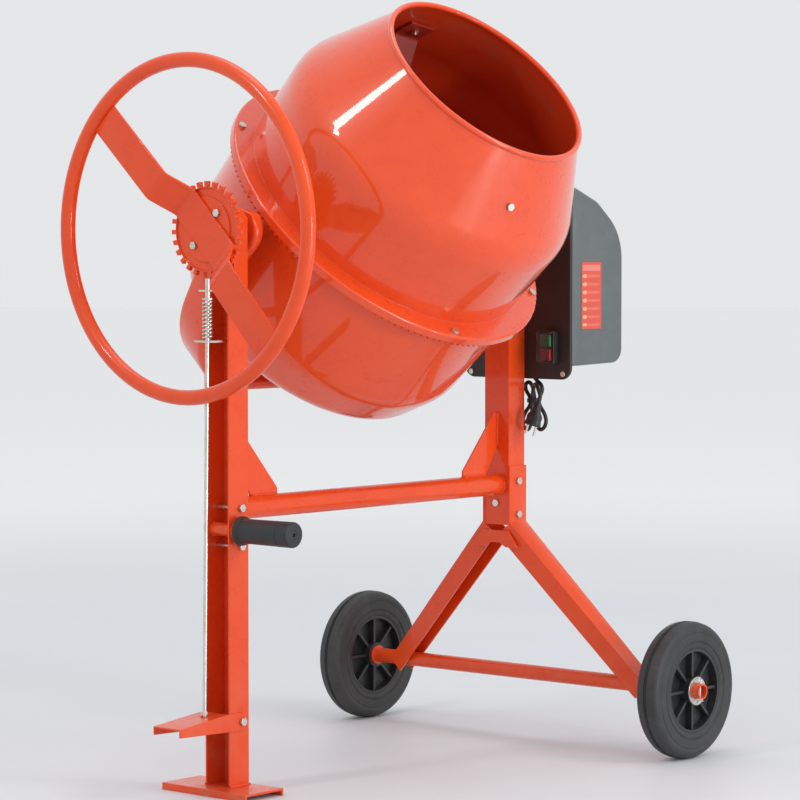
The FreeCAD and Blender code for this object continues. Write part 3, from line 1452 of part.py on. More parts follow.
build()
for name, shape in parts.items():
    shape = shape.copy()
    shape.translate(Vector(-ORIGIN_X, 0, 0))
    if not shape.isValid() or not shape.Solids:
        print("NOT VALID:", name)
    shape.exportStep("parts/" + name + ".step")
print(len(parts), "nodes, origin moved by", -ORIGIN_X)
lead = parts["cord_lead"]
print("cord lead volume", lead.Volume, "section x length", math.pi * CORD_R ** 2 * LEAD_LENGTH)
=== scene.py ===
"""Tilting-drum concrete mixer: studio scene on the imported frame. Metres, +Z up, floor at z = 0."""
import json
import math

import bmesh
import bpy
from mathutils import Matrix, Vector


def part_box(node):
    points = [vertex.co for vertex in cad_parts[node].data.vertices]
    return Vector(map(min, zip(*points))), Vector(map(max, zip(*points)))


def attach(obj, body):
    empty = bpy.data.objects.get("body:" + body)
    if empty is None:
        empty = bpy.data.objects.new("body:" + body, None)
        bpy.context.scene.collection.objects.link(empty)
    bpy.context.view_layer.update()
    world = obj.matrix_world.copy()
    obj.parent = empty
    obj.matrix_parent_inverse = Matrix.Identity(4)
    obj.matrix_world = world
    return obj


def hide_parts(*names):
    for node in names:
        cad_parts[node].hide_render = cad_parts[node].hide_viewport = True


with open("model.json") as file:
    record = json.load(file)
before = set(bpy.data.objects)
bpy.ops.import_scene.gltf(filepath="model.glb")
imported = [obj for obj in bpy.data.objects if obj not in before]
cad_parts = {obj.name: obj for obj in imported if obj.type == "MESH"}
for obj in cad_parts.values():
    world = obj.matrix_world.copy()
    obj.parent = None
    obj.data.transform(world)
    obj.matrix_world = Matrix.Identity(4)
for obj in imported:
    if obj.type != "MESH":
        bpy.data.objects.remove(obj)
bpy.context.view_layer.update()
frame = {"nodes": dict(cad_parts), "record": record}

MM = 0.001
SHIFT = -15.5 * MM               # the machine's origin, measured from the drum's centre plane
TILT_Z = 0.922
LEAN = math.radians(45)
DRUM = Matrix.Translation((SHIFT, 0, TILT_Z)) @ Matrix.Rotation(LEAN, 4, "X")


def at(x, y, z):
    """A point given in millimetres from the drum's centre plane."""
    return Vector((x * MM + SHIFT, y * MM, z * MM))


# ---------------------------------------------------------------- camera
def add_camera():
    data = bpy.data.cameras.new("studio_camera")
    data.lens = 140.2
    data.sensor_width = 36
    data.clip_end = 100
    camera = bpy.data.objects.new("studio_camera", data)
    camera.location = at(-4018.7, -3542.1, 894.1)
    camera.rotation_euler = (math.radians(87.18), 0, math.radians(-49.08))
    bpy.context.collection.objects.link(camera)
    bpy.context.scene.camera = camera


add_camera()


# ---------------------------------------------------------------- shader maths
class Wire:
    """An output socket on which Python's operators add Math nodes."""

    def __init__(self, finish, socket):
        self.finish = finish
        self.socket = socket

    def math(self, operation, *values):
        return self.finish.node("ShaderNodeMath", {"operation": operation}, *values)

    def __add__(self, other):
        return self.math("ADD", self, other)

    __radd__ = __add__

    def __sub__(self, other):
        return self.math("SUBTRACT", self, other)

    def __rsub__(self, other):
        return self.math("SUBTRACT", other, self)

    def __mul__(self, other):
        return self.math("MULTIPLY", self, other)

    __rmul__ = __mul__

    def __pow__(self, other):
        return self.math("POWER", self, other)

    def abs(self):
        return self.math("ABSOLUTE", self)

    def root(self):
        return self.math("SQRT", self)

    def fade(self, low, high):
        """0 below low, 1 above high and a smooth step between; low may be the larger."""
        settings = {"interpolation_type": "SMOOTHSTEP", "clamp": True}
        return self.finish.node("ShaderNodeMapRange", settings, self, low, high, 0.0, 1.0)


class Finish:
    """A material with one Principled shader, whose fixed numbers sit on the shader's own sockets."""

    def __init__(self, name, **fixed):
        self.material = bpy.data.materials.new(name)
        self.material.use_nodes = True
        self.tree = self.material.node_tree
        self.shader = self.tree.nodes["Principled BSDF"]
        self.place = self.tree.nodes.new("ShaderNodeTexCoord")
        for socket, value in fixed.items():
            self.shader.inputs[socket.replace("_", " ")].default_value = value

    def node(self, kind, settings, *values, output=0, **named):
        node = self.tree.nodes.new(kind)
        for key, value in settings.items():
            setattr(node, key, value)
        for slot, value in list(enumerate(values)) + list(named.items()):
            socket = node.inputs[slot.replace("_", " ") if isinstance(slot, str) else slot]
            if isinstance(value, Wire):
                self.tree.links.new(value.socket, socket)
            elif value is not None:
                socket.default_value = value
        return Wire(self, node.outputs[output])

    def where(self):
        return Wire(self, self.place.outputs["Object"])

    def facing(self):
        return Wire(self, self.place.outputs["Normal"])

    def placed(self, move=(0, 0, 0), turn=(0, 0, 0), scale=(1, 1, 1), vector=None):
        """Object coordinates moved, then turned, then scaled."""
        vector = vector or self.where()
        if any(move):
            vector = self.node("ShaderNodeVectorMath", {"operation": "ADD"}, vector, move)
        return self.node("ShaderNodeMapping", {}, vector, Rotation=turn, Scale=scale)

    def split(self, vector):
        node = self.tree.nodes.new("ShaderNodeSeparateXYZ")
        self.tree.links.new(vector.socket, node.inputs[0])
        return [Wire(self, out) for out in node.outputs]

    def noise(self, scale, detail=2.0, rough=0.5, vector=None):
        return self.node(
            "ShaderNodeTexNoise", {}, Vector=vector or self.where(), Scale=scale, Detail=detail, Roughness=rough
        )

    def cells(self, scale):
        return self.node("ShaderNodeTexVoronoi", {}, Vector=self.where(), Scale=scale)

    def blend(self, factor, first, second):
        node = self.tree.nodes.new("ShaderNodeMix")
        node.data_type = "RGBA"
        for slot, value in ((0, factor), (6, first), (7, second)):
            if isinstance(value, Wire):
                self.tree.links.new(value.socket, node.inputs[slot])
            elif slot == 0:
                node.inputs[slot].default_value = value
            else:
                node.inputs[slot].default_value = (*value, 1)
        return Wire(self, node.outputs[2])

    def send(self, socket, value):
        self.tree.links.new(value.socket, self.shader.inputs[socket])

    def relief(self, height, depth, strength=1.0):
        """Bump of that depth in metres where height goes from 0 to 1."""
        bump = self.node("ShaderNodeBump", {}, Strength=strength, Distance=depth, Height=height)
        self.send("Normal", bump)


# ---------------------------------------------------------------- finishes
ORANGE = (0.82, 0.078, 0.010)
ORANGE_DEEP = (0.74, 0.060, 0.008)
# Painted shade: the dark red that the drum's inner faces take deep inside it.
INSIDE_SHADE_RED = (0.46, 0.022, 0.008)
ZINC_PALE = (0.74, 0.74, 0.73)


def powder_coat(name, peel=1.0, inside=False, worn=0.0, gloss=0.45):
    """Glossy orange powder coat with orange peel, faint mottling and dust low down.

    With inside, faces that look towards the drum's axis get a duller coat and a painted shade: a deeper red that
    darkens further into the drum, towards its bottom."""
    coat = Finish(name, Coat_Roughness=0.05, Specular_IOR_Level=0.24)
    broad = coat.noise(2.6, 3.0)
    fine = coat.noise(34.0, 4.0, 0.6)
    tone = (broad * 0.65 + fine * 0.35).fade(0.32, 0.68)
    colour = coat.blend(tone, ORANGE_DEEP, ORANGE)
    rough = fine.fade(0.3, 0.75) * 0.08 + 0.26
    height = coat.split(coat.where())[2]
    dust = (0.30 - height).fade(0.0, 0.30) * coat.noise(22.0, 5.0, 0.65).fade(0.40, 0.78)
    colour = coat.blend(dust * 0.30, colour, (0.55, 0.30, 0.20))
    rough = rough + dust * 0.25
    weight = gloss - dust * 0.30
    if worn:
        chips = coat.noise(210.0, 6.0, 0.72).fade(0.74, 0.78) * coat.noise(14.0, 2.0).fade(0.45, 0.62)
        colour = coat.blend(chips * worn, colour, (0.22, 0.11, 0.08))
        rough = rough + chips * worn * 0.3
    if inside:
        radial = coat.placed(move=(-SHIFT, 0, -TILT_Z), turn=(-LEAN, 0, 0))
        normal = coat.placed(turn=(-LEAN, 0, 0), vector=coat.facing())
        rx, ry, rz = coat.split(radial)
        nx, ny, nz = coat.split(normal)
        outward = (rx * nx + ry * ny) * 4.0 + (rz - 0.02) * nz
        inward = outward.fade(0.02, -0.02)
        radius = (rx * rx + ry * ry).root()
        # Painted shade: the inner faces turn a darker red towards the drum's bottom, standing in for the shade
        # inside the drum; the streaks add random tone.
        depth = (0.36 - rz).fade(0.0, 0.30)
        streaks = coat.noise(9.0, 5.0, 0.6).fade(0.35, 0.7)
        inner_shaded = coat.blend(depth * 0.8 + streaks * 0.2, (0.78, 0.062, 0.012), INSIDE_SHADE_RED)
        band = (radius - 0.205).abs().fade(0.016, 0.004) * streaks * 0.25
        inner_shaded = coat.blend(band, inner_shaded, (0.45, 0.20, 0.13))
        colour = coat.blend(inward, colour, inner_shaded)
        rough = rough + inward * (0.16 + streaks * 0.10)
        weight = weight - inward * 0.70
    coat.send("Base Color", colour)
    coat.send("Roughness", rough)
    coat.send("Coat Weight", weight)
    coat.relief(coat.noise(620.0 / peel, 1.5, 0.45) * 0.8 + coat.noise(95.0, 2.0) * 0.9, 0.00016 * peel)
    return coat.material


def zinc(name, tone=ZINC_PALE, rough=0.26):
    """Zinc plate: soft spangle, slight yellow passivation and fine turning marks."""
    plate = Finish(name, Metallic=1.0)
    spangle = plate.cells(260.0)
    cloud = plate.noise(45.0, 3.0)
    colour = plate.blend(cloud.fade(0.35, 0.7), tone, (0.66, 0.62, 0.50))
    colour = plate.blend(spangle * 0.18, colour, (0.42, 0.43, 0.45))
    plate.send("Base Color", colour)
    plate.send("Roughness", cloud * 0.16 + spangle * 0.06 + (rough - 0.08))
    plate.relief(plate.noise(900.0, 2.0), 0.00005)
    return plate.material


def cast_iron(name):
    iron = Finish(name, Metallic=0.85)
    grain = iron.noise(420.0, 4.0, 0.6)
    stain = iron.noise(26.0, 4.0, 0.6).fade(0.45, 0.72)
    iron.send("Base Color", iron.blend(stain * 0.6, (0.085, 0.08, 0.078), (0.16, 0.085, 0.05)))
    iron.send("Roughness", grain * 0.22 + stain * 0.15 + 0.34)
    iron.relief(grain, 0.0003)
    return iron.material


def rubber(name, tone=(0.022, 0.023, 0.024), scuffed=False):
    """Matt black rubber: dusty bloom, fine pores and, on tyres, scuffed tread."""
    hide = Finish(name, Specular_IOR_Level=0.42)
    bloom = hide.noise(18.0, 5.0, 0.62).fade(0.38, 0.74)
    pores = hide.noise(1300.0, 2.0)
    colour = hide.blend(bloom * 0.55, tone, tuple(c * 2.1 + 0.010 for c in tone))
    rough = bloom * 0.18 + 0.46
    if scuffed:
        across = hide.noise(75.0, 4.0, 0.7, hide.placed(scale=(1, 0.22, 1))).fade(0.52, 0.74)
        low = (0.115 - hide.split(hide.where())[2]).fade(-0.10, 0.11)
        colour = hide.blend(across * 0.30 + low * 0.12, colour, (0.105, 0.10, 0.095))
        rough = rough + across * 0.14
    hide.send("Base Color", colour)
    hide.send("Roughness", rough)
    hide.relief(pores * 0.5 + bloom * 0.5, 0.00012)
    return hide.material


def moulded(name, tone, gloss=0.42, grain=1500.0, depth=0.00010):
    """Moulded plastic: fine spark-eroded grain, faint flow marks and rubbed patches."""
    skin = Finish(name, Specular_IOR_Level=0.5)
    flow = skin.noise(5.5, 3.0, 0.5, skin.placed(scale=(1, 1, 0.35)))
    rub = skin.noise(31.0, 5.0, 0.65).fade(0.42, 0.75)
    dark = tuple(c * 0.80 for c in tone)
    pale = tuple(min(1, c * 1.22 + 0.004) for c in tone)
    colour = skin.blend(flow.fade(0.35, 0.65), dark, tone)
    colour = skin.blend(rub * 0.35, colour, pale)
    skin.send("Base Color", colour)
    skin.send("Roughness", rub * 0.14 + flow * 0.08 + (gloss - 0.06))
    skin.relief(skin.noise(grain, 2.0, 0.6), depth)
    return skin.material


def alloy(name):
    """Turned aluminium with fine rings round the X axis."""
    metal = Finish(name, Metallic=1.0)
    rings = metal.noise(380.0, 2.0, 0.5, metal.placed(scale=(1, 0.06, 0.06)))
    metal.send("Base Color", metal.blend(metal.noise(30.0, 3.0), (0.62, 0.63, 0.64), (0.78, 0.78, 0.77)))
    metal.send("Roughness", rings * 0.2 + 0.22)
    metal.relief(rings, 0.00006)
    return metal.material


def sticker(name):
    """A plain orange-red film label: paler head band, a column of plain marks and blank rows."""
    low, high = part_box("label_plate")
    film = Finish(name, Coat_Weight=0.4, Coat_Roughness=0.12)
    x, _, z = film.split(film.where())
    across = (x - low[0]) * (1.0 / (high[0] - low[0]))
    up = (z - low[2]) * (1.0 / (high[2] - low[2]))
    head = up.fade(0.868, 0.872) * up.fade(0.962, 0.958) * across.fade(0.06, 0.07) * across.fade(0.94, 0.93)
    rows = up * 8.2
    cell = rows.math("FRACT", rows)
    body = up.fade(0.845, 0.838) * up.fade(0.04, 0.048)
    spot = ((cell - 0.5) * 0.245) ** 2.0 + ((across - 0.17) * 0.52) ** 2.0
    marks = spot.root().fade(0.062, 0.056) * body
    bars = (cell - 0.5).abs().fade(0.17, 0.15) * body * across.fade(0.31, 0.32) * across.fade(0.92, 0.90)
    warm = film.noise(40.0, 2.0)
    colour = film.blend(warm, (0.62, 0.060, 0.030), (0.70, 0.080, 0.040))
    colour = film.blend(head * 0.55, colour, (0.80, 0.30, 0.26))
    colour = film.blend(marks * 0.85, colour, (0.85, 0.42, 0.20))
    colour = film.blend(bars * 0.28, colour, (0.85, 0.30, 0.22))
    film.send("Base Color", colour)
    film.send("Roughness", warm * 0.12 + 0.32)
    film.relief(film.noise(150.0, 2.0), 0.00008)
    return film.material


def clear_film(name):
    """Smoky see-through plastic for the switch flap."""
    flap = Finish(name, Specular_IOR_Level=0.5)
    haze = flap.noise(60.0, 3.0).fade(0.35, 0.75)
    flap.send("Base Color", flap.blend(haze, (0.05, 0.05, 0.055), (0.12, 0.12, 0.12)))
    flap.send("Roughness", haze * 0.15 + 0.12)
    flap.send("Alpha", haze * 0.10 + 0.34)
    return flap.material


def primer():
    paint = Finish("dark_red_paint", Specular_IOR_Level=0.4)
    patch = paint.noise(12.0, 5.0, 0.6).fade(0.35, 0.7)
    paint.send("Base Color", paint.blend(patch, (0.30, 0.020, 0.010), (0.47, 0.040, 0.014)))
    paint.send("Roughness", patch * 0.15 + 0.38)
    paint.relief(paint.noise(500.0, 3.0), 0.00014)
    return paint.material


PAINT = powder_coat("orange_powder_coat")
PAINT_WORN = powder_coat("orange_powder_coat_worn", worn=0.55)
# The drum's coat carries a painted shade on its inner faces.
DRUM_PAINT_AND_SHADE = powder_coat("drum_powder_coat_and_inner_shade", peel=0.8, inside=True, gloss=0.95)
ZINC = zinc("zinc_plate")
SPRING_STEEL = zinc("bright_spring_wire", (0.70, 0.69, 0.66), 0.22)
IRON = cast_iron("cast_gear_iron")
TYRE = rubber("tyre_rubber", (0.026, 0.027, 0.028), scuffed=True)
RUBBER = rubber("soft_black_rubber")
CORD_SKIN = moulded("cord_jacket", (0.020, 0.020, 0.021), 0.40, 900.0, 0.00005)
BLACK = moulded("black_moulding", (0.022, 0.018, 0.016), 0.45)
RIM_BLACK = moulded("wheel_moulding", (0.026, 0.028, 0.029), 0.36)
GREY = moulded("slate_grey_moulding", (0.125, 0.145, 0.150), 0.40, 1100.0, 0.00013)
ALLOY = alloy("turned_alloy")
LABEL = sticker("plain_label_film")
GREEN = moulded("green_button", (0.045, 0.30, 0.07), 0.30, 700.0, 0.00004)
RED = moulded("red_button", (0.58, 0.020, 0.022), 0.30, 700.0, 0.00004)
FLAP = clear_film("smoky_flap")
PAINT_RED = primer()


# ---------------------------------------------------------------- mesh helpers
def settle(name, mesh, body, material, slot, *nodes, smooth=32):
    """Makes the finished mesh a piece that rides on a body and stands for its CAD nodes."""
    mesh.materials.clear()
    mesh.materials.append(material)
    mesh.shade_smooth()
    mesh.set_sharp_from_angle(angle=math.radians(smooth))
    piece = bpy.data.objects.new(name, mesh)
    bpy.context.collection.objects.link(piece)
    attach(piece, body)
    if nodes:
        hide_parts(*nodes)
    return piece


def from_bmesh(bm, name, clean=True):
    if clean:
        bmesh.ops.remove_doubles(bm, verts=bm.verts, dist=1e-6)
        bmesh.ops.recalc_face_normals(bm, faces=bm.faces)
    mesh = bpy.data.meshes.new(name)
    bm.to_mesh(mesh)
    bm.free()
    return mesh


def body_of(node):
    for body, nodes in frame["record"]["behaviour"]["bodies"].items():
        if node in nodes:
            return body
    raise ValueError(node)


def slot_of(node):
    for part in frame["record"]["subparts"]:
        if part["node"] == node:
            return part["material_slot"]
    raise ValueError(node)


def eased(node, width, material, segments=2):
    """A copy of a CAD node with its edges rounded by width millimetres."""
    bm = bmesh.new()
    bm.from_mesh(frame["nodes"][node].data)
    bmesh.ops.remove_doubles(bm, verts=bm.verts, dist=2e-6)
    bmesh.ops.dissolve_limit(
        bm, angle_limit=math.radians(0.4), verts=bm.verts, edges=bm.edges, use_dissolve_boundaries=False
    )
    mesh = from_bmesh(bm, node + "_eased", clean=False)
    piece = settle(node + "_eased", mesh, body_of(node), material, slot_of(node), node, smooth=40)
    bevel = piece.modifiers.new("eased_edges", "BEVEL")
    bevel.width = width * MM
    bevel.segments = segments
    bevel.limit_method = "ANGLE"
    bevel.angle_limit = math.radians(38)
    bevel.harden_normals = False
    bevel.use_clamp_overlap = True
    return piece


def turned(profile, steps, place, closed=True):
    """Spins a line of (radius, height) points in millimetres about +Z, then moves it to its place."""
    bm = bmesh.new()
    verts = [bm.verts.new((r * MM, 0, h * MM)) for r, h in profile]
    edges = [bm.edges.new(pair) for pair in zip(verts, verts[1:])]
    if closed:
        edges.append(bm.edges.new((verts[-1], verts[0])))
    bmesh.ops.spin(
        bm, geom=verts + edges, cent=(0, 0, 0), axis=(0, 0, 1), angle=math.tau, steps=steps, use_merge=True
    )
    bmesh.ops.remove_doubles(bm, verts=bm.verts, dist=1e-6)
    bmesh.ops.recalc_face_normals(bm, faces=bm.faces)
    bmesh.ops.transform(bm, matrix=place, verts=bm.verts)
    return bm


def arc(cx, cy, radius, start, end, steps):
    """Points of an arc, in degrees, end included."""
    points = []
    for step in range(steps + 1):
        angle = math.radians(start + (end - start) * step / steps)
        points.append((cx + radius * math.cos(angle), cy + radius * math.sin(angle)))
    return points


def oval(bm, segments, half_x, half_y, height):
    """The edges of a level oval about the Z axis; sizes in millimetres."""
    ring = bmesh.ops.create_circle(bm, segments=segments, radius=1.0)["verts"]
    stretch = Matrix.Diagonal((half_x * MM, half_y * MM, 1, 1))
    bmesh.ops.transform(bm, matrix=Matrix.Translation((0, 0, height * MM)) @ stretch, verts=ring)
    return list({edge for vert in ring for edge in vert.link_edges})


def aim(origin, direction):
    """A placement whose +Z looks along direction."""
    turn = Vector(direction).to_track_quat("Z", "Y").to_matrix().to_4x4()
    return Matrix.Translation(origin) @ turn


def curve(name, radius, roundness, resolution, points, material):
    """A round NURBS line through points that also give their own share of the radius."""
    data = bpy.data.curves.new(name, "CURVE")
    data.dimensions = "3D"
    data.bevel_depth = radius * MM
    data.bevel_resolution = roundness
    data.use_fill_caps = True
    data.resolution_u = resolution
    line = data.splines.new("NURBS")
    line.points.add(len(points) - 1)
    for spot, (place, share) in zip(line.points, points):
        spot.co = (*place, 1)
        spot.radius = share
    line.order_u = 3
    line.use_endpoint_u = True
    data.materials.append(material)
    piece = bpy.data.objects.new(name, data)
    bpy.context.collection.objects.link(piece)
    return piece


def wire(name, points, radius, material):
    """A round wire or bead on the frame, on a smooth line through points in millimetres."""
    shares = [point[3] if len(point) > 3 else 1.0 for point in points]
    places = [at(*point[:3]) for point in points]
    piece = curve(name, radius, 3, 6, list(zip(places, shares)), material)
    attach(piece, "frame")
    return piece


# ---------------------------------------------------------------- mains cord
CORD_R = 3.6
CORD_X = 395.0
CORD_Y = -36.0
CORD_TOP = 671.0                 # where the cord leaves the gland
GLAND_TOP = 680.2
TIE_Z = 616.0                    # waist of the loops
PLUG_OUT = 29.3                  # plug's middle in front of the loops
PLUG_ASIDE = 27.0
PLUG_Z = 592.0
PLUG_NECK = 20.0                 # top of the neck above the plug's middle
PLUG_LEAN = math.radians(16)


def cord_points():
    """Down from the gland, round two tied figures of eight, and over to the plug's neck."""
    route = [
        # sideways, height, depth
        (0, CORD_TOP, 0), (0, 664.0, 0), (-1, 657.5, 1.5), (-6, 650.5, 4), (-14, 645.5, 4.2), (-17.5, 636, 4.2),
        (-13, 626, 4.2), (-8.5, TIE_Z, 4), (-12, 605, 4), (-22, 593, 4.6), (-26.5, 579, 4.6), (-21.5, 566.5, 4.2),
        (-11.5, 562, 4.2), (-3.5, 571, 4.2), (-0.5, 587, 4), (0, 602, 4), (0, TIE_Z, 4), (2.5, 629, 4),
        (5.5, 642, 4.2), (13.5, 650, 4.2), (22, 645.5, 4.2), (21.5, 634, 4.2), (13, 624, 4.2), (8.5, TIE_Z, 4),
        (11.5, 605, 3.5), (22, 593, 2.5), (26.5, 578.5, 1), (21, 565, -1), (10.5, 561.5, -2.5), (3, 572, -3.8),
        (0.5, 588, -4), (0, 602, -4), (0, TIE_Z, -4), (-1.5, 628, -4.2), (-5, 639, -7), (-12, 646.5, -12),
        (-21, 645.5, -17), (-28, 637, -21.5),
    ]
    points = [at(CORD_X + depth, CORD_Y + sideways, height) for sideways, height, depth in route]
    neck = plug_place().to_translation()
    along = plug_place().to_3x3() @ Vector((0, 0, 1))
    return points + [neck + along * 15 * MM, neck + along * 6 * MM, neck - along * 3 * MM]


def plug_place():
    """The plug's frame: its origin at the top of the neck, pins along -Z, leaning in its own plane."""
    lean = Matrix.Rotation(PLUG_LEAN, 4, Vector((0.755, 0.655, 0)))
    middle = Matrix.Translation(at(CORD_X - PLUG_OUT, CORD_Y - PLUG_ASIDE, PLUG_Z))
    return middle @ lean @ Matrix.Translation((0, 0, PLUG_NECK * MM))


def mains_cord():
    cord = curve("mains_cord", CORD_R, 5, 8, [(point, 1.0) for point in cord_points()], CORD_SKIN)
    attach(cord, "frame")
    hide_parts("cord_lead", "cord_hank")
    return cord


def cord_gland():
    """A ribbed strain relief, tapering downwards."""
    profile = [(3.9, 0.0), (8.0, 0.0), (8.0, -1.2)]
    for rib in range(3):
        top = -1.6 - rib * 2.3
        radius = 7.0 - rib * 0.75
        profile += [(radius - 1.1, top), (radius, top - 0.4), (radius, top - 1.4), (radius - 1.1, top - 1.8)]
    profile += [(4.6, -9.0), (3.9, -9.0)]
    place = Matrix.Translation(at(CORD_X, CORD_Y, GLAND_TOP))
    bm = turned(profile, 40, place)
    return settle("ribbed_gland", from_bmesh(bm, "gland"), "frame", RUBBER, "black_rubber", "cord_gland")


def cord_plug():
    """A moulded two-pin plug, pins down, with a ribbed neck and a finger waist."""
    bm = bmesh.new()
    levels = [
        # height, half width across the pins' plane, half width along it
        (0.0, 4.6, 4.6), (-3.0, 6.2, 6.2), (-8.0, 7.0, 7.4), (-12.0, 7.6, 8.6), (-17.0, 9.5, 11.5),
        (-21.0, 12.0, 14.5), (-26.0, 12.2, 15.2), (-30.0, 11.4, 14.6), (-34.0, 12.6, 15.8), (-38.5, 13.6, 16.8),
        (-40.0, 12.8, 16.0),
    ]
    rings = []
    for height, half_x, half_y in levels:
        rings.append(oval(bm, 36, half_x, half_y, height))
    for upper, lower in zip(rings, rings[1:]):
        bmesh.ops.bridge_loops(bm, edges=upper + lower)
    bmesh.ops.holes_fill(bm, edges=bm.edges, sides=0)
    for side in (-1, 1):
        pin = bmesh.ops.create_cone(
            bm, cap_ends=True, segments=20, radius1=2.0 * MM, radius2=2.4 * MM, depth=18 * MM
        )["verts"]
        bmesh.ops.translate(bm, verts=pin, vec=(0, side * 9.5 * MM, -48.6 * MM))
    pins = {face.index for face in settled_faces(bm) if face.calc_center_median().z < -40.5 * MM}
    bmesh.ops.transform(bm, matrix=plug_place(), verts=bm.verts)
    mesh = from_bmesh(bm, "plug", clean=False)
    piece = settle("moulded_plug", mesh, "frame", CORD_SKIN, "black_rubber", "cord_plug", smooth=50)
    piece.data.materials.append(ZINC)
    for number in pins:
        piece.data.polygons[number].material_index = 1
    return piece


def settled_faces(bm):
    bmesh.ops.recalc_face_normals(bm, faces=bm.faces)
    bm.faces.index_update()
    return list(bm.faces)


def cord_tie():
    """A flat rubber tie round the waist of the loops."""
    bm = bmesh.new()
    rings = []
    for height, reach in ((-4.0, 12.4), (-3.4, 13.2), (3.4, 13.2), (4.0, 12.4)):
        rings.append(oval(bm, 40, reach - CORD_R, reach, height))
    for lower, upper in zip(rings, rings[1:]):
        bmesh.ops.bridge_loops(bm, edges=lower + upper)
    bmesh.ops.holes_fill(bm, edges=bm.edges, sides=0)
    bmesh.ops.transform(bm, matrix=Matrix.Translation(at(CORD_X, CORD_Y, TIE_Z)), verts=bm.verts)
    return settle("cord_tie", from_bmesh(bm, "tie"), "frame", RUBBER, "black_rubber")


CORD = mains_cord()
PLUG = cord_plug()
GLAND = cord_gland()
TIE = cord_tie()
tuple(at(CORD_X, CORD_Y, 671.0))

# ---------------------------------------------------------------- road wheels
AXLE_X = 402.0
AXLE_Z = 120.0
WHEEL_Y = 370.0
COTTER_Y = 402.0


def on_axle(side):
    turn = Matrix.Rotation(math.radians(90 * side), 4, "X")
    return Matrix.Translation(at(AXLE_X, side * WHEEL_Y, AXLE_Z)) @ turn


def solid_tyre(place, side):
    """A solid rubber tyre: flat tread with shallow grooves, round shoulders, ringed side walls."""
    half = 23.0
    right = [(74.0, 0.0), (74.0, half - 3.2), (76.0, half - 1.2), (79.0, half - 0.6), (83.0, half - 0.6)]
    right += [(84.2, half - 1.7), (85.6, half - 1.7), (87.0, half - 0.2), (99.0, half), (101.0, half - 0.2)]
    right += [(101.8, half - 0.9), (102.6, half - 0.5)]
    right += arc(106.0, half - 13.0, 13.0, 88, 22, 10)
    right += [(119.4, 7.4), (120.0, 5.6), (120.0, 3.1), (118.4, 2.5), (118.4, 0.9), (120.0, 0.3), (120.0, 0.0)]
    left = [(r, -h) for r, h in reversed(right) if h > 0]
    mesh = from_bmesh(turned(right + left, 144, on_axle(side)), "tyre_" + place)
    settle("solid_tyre_" + place, mesh, "wheel_" + place, TYRE, "tyre_rubber", "tyre_" + place, smooth=35)


def bent_cotter(place, y):
    """A split pin through the axle's end: round eye, straight legs and tips that are bent apart."""
    legs = [(3.6, 21.5), (3.8, 17.5), (1.0, 14.6), (1.0, 8.0)]
    legs += [(1.0, -8.0), (1.0, -15.0), (4.5, -17.4), (9.0, -18.6)]
    for side, name in ((-1, "cotter_b_"), (1, "cotter_a_")):
        points = [(AXLE_X, y, AXLE_Z + 24.2)]
        points += [(AXLE_X + side * aside, y, AXLE_Z + up) for aside, up in legs]
        wire(name + place, points, 0.95, ZINC)


for place, side in (("front", -1), ("rear", 1)):
    solid_tyre(place, side)
    eased("wheel_rim_" + place, 1.4, RIM_BLACK, 3)
    bent_cotter(place, side * COTTER_Y)
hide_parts("split_pins")


# ---------------------------------------------------------------- welds
RIPPLE = 2.6


def bead_line(points):
    """Ripples along straight runs: every few millimetres the bead swells a little."""
    beads = []
    for start, end in zip(points, points[1:]):
        start, end = Vector(start), Vector(end)
        steps = max(2, int((end - start).length / RIPPLE))
        for step in range(steps):
            spot = start.lerp(end, step / steps)
            beads.append((*spot, 1.12 if len(beads) % 2 else 0.88))
    beads.append((*points[-1], 0.8))
    return beads


def weld(name, points, radius):
    wire("weld_" + name, bead_line(points), radius, PAINT)


def circle(radius, count):
    """Points round a circle, the first one again at the end."""
    angles = [math.tau * step / count for step in range(count + 1)]
    return [(radius * math.cos(angle), radius * math.sin(angle)) for angle in angles]


STAND_X = -343.0                 # inner faces of the legs
MOTOR_X = 334.0
LEGS = (("stand", STAND_X, 1), ("motor", MOTOR_X, -1))
TUBE_Z = 465.0
TUBE_TOP = 484.0
GUSSET_Y = 2.8
BLOCK_WIDTH = 32.0
BLOCK_FOOT = 889.2
FOOT_TOP = 12.8
FOOT_Y = 28.3
AXLE_WELD_Y = 281.0


def frame_welds():
    for name, x, way in LEGS:
        weld("tube_" + name, [(x + way * 1.2, across, TUBE_Z + up) for across, up in circle(19.6, 40)], 2.0)
    for name, x, way in LEGS:
        for y, suffix in ((-GUSSET_Y, "_a"), (GUSSET_Y, "_b")):
            up = [(x + way, y, TUBE_TOP + 53), (x + way, y, TUBE_TOP + 111)]
            along = [(x + way * 34.0, y, TUBE_TOP + 0.6), (x + way * 95.0, y, TUBE_TOP + 0.6)]
            weld("gusset_up_" + name + suffix, up, 1.7)
            weld("gusset_run_" + name + suffix, along, 1.7)
    corners = ((-388, -FOOT_Y), (-342.2, -FOOT_Y), (-342.2, FOOT_Y), (-388, FOOT_Y))
    weld("foot", [(x, y, FOOT_TOP) for x, y in corners], 2.2)
    for name, x, way in LEGS:
        ends = sorted((x, x - way * BLOCK_WIDTH))
        weld("block_" + name, [(end, -27.8, BLOCK_FOOT) for end in ends], 1.5)
    for name, y in (("front", -AXLE_WELD_Y), ("rear", AXLE_WELD_Y)):
        weld("axle_" + name, [(AXLE_X + across, y, AXLE_Z + up) for across, up in circle(14.6, 28)], 1.8)


frame_welds()


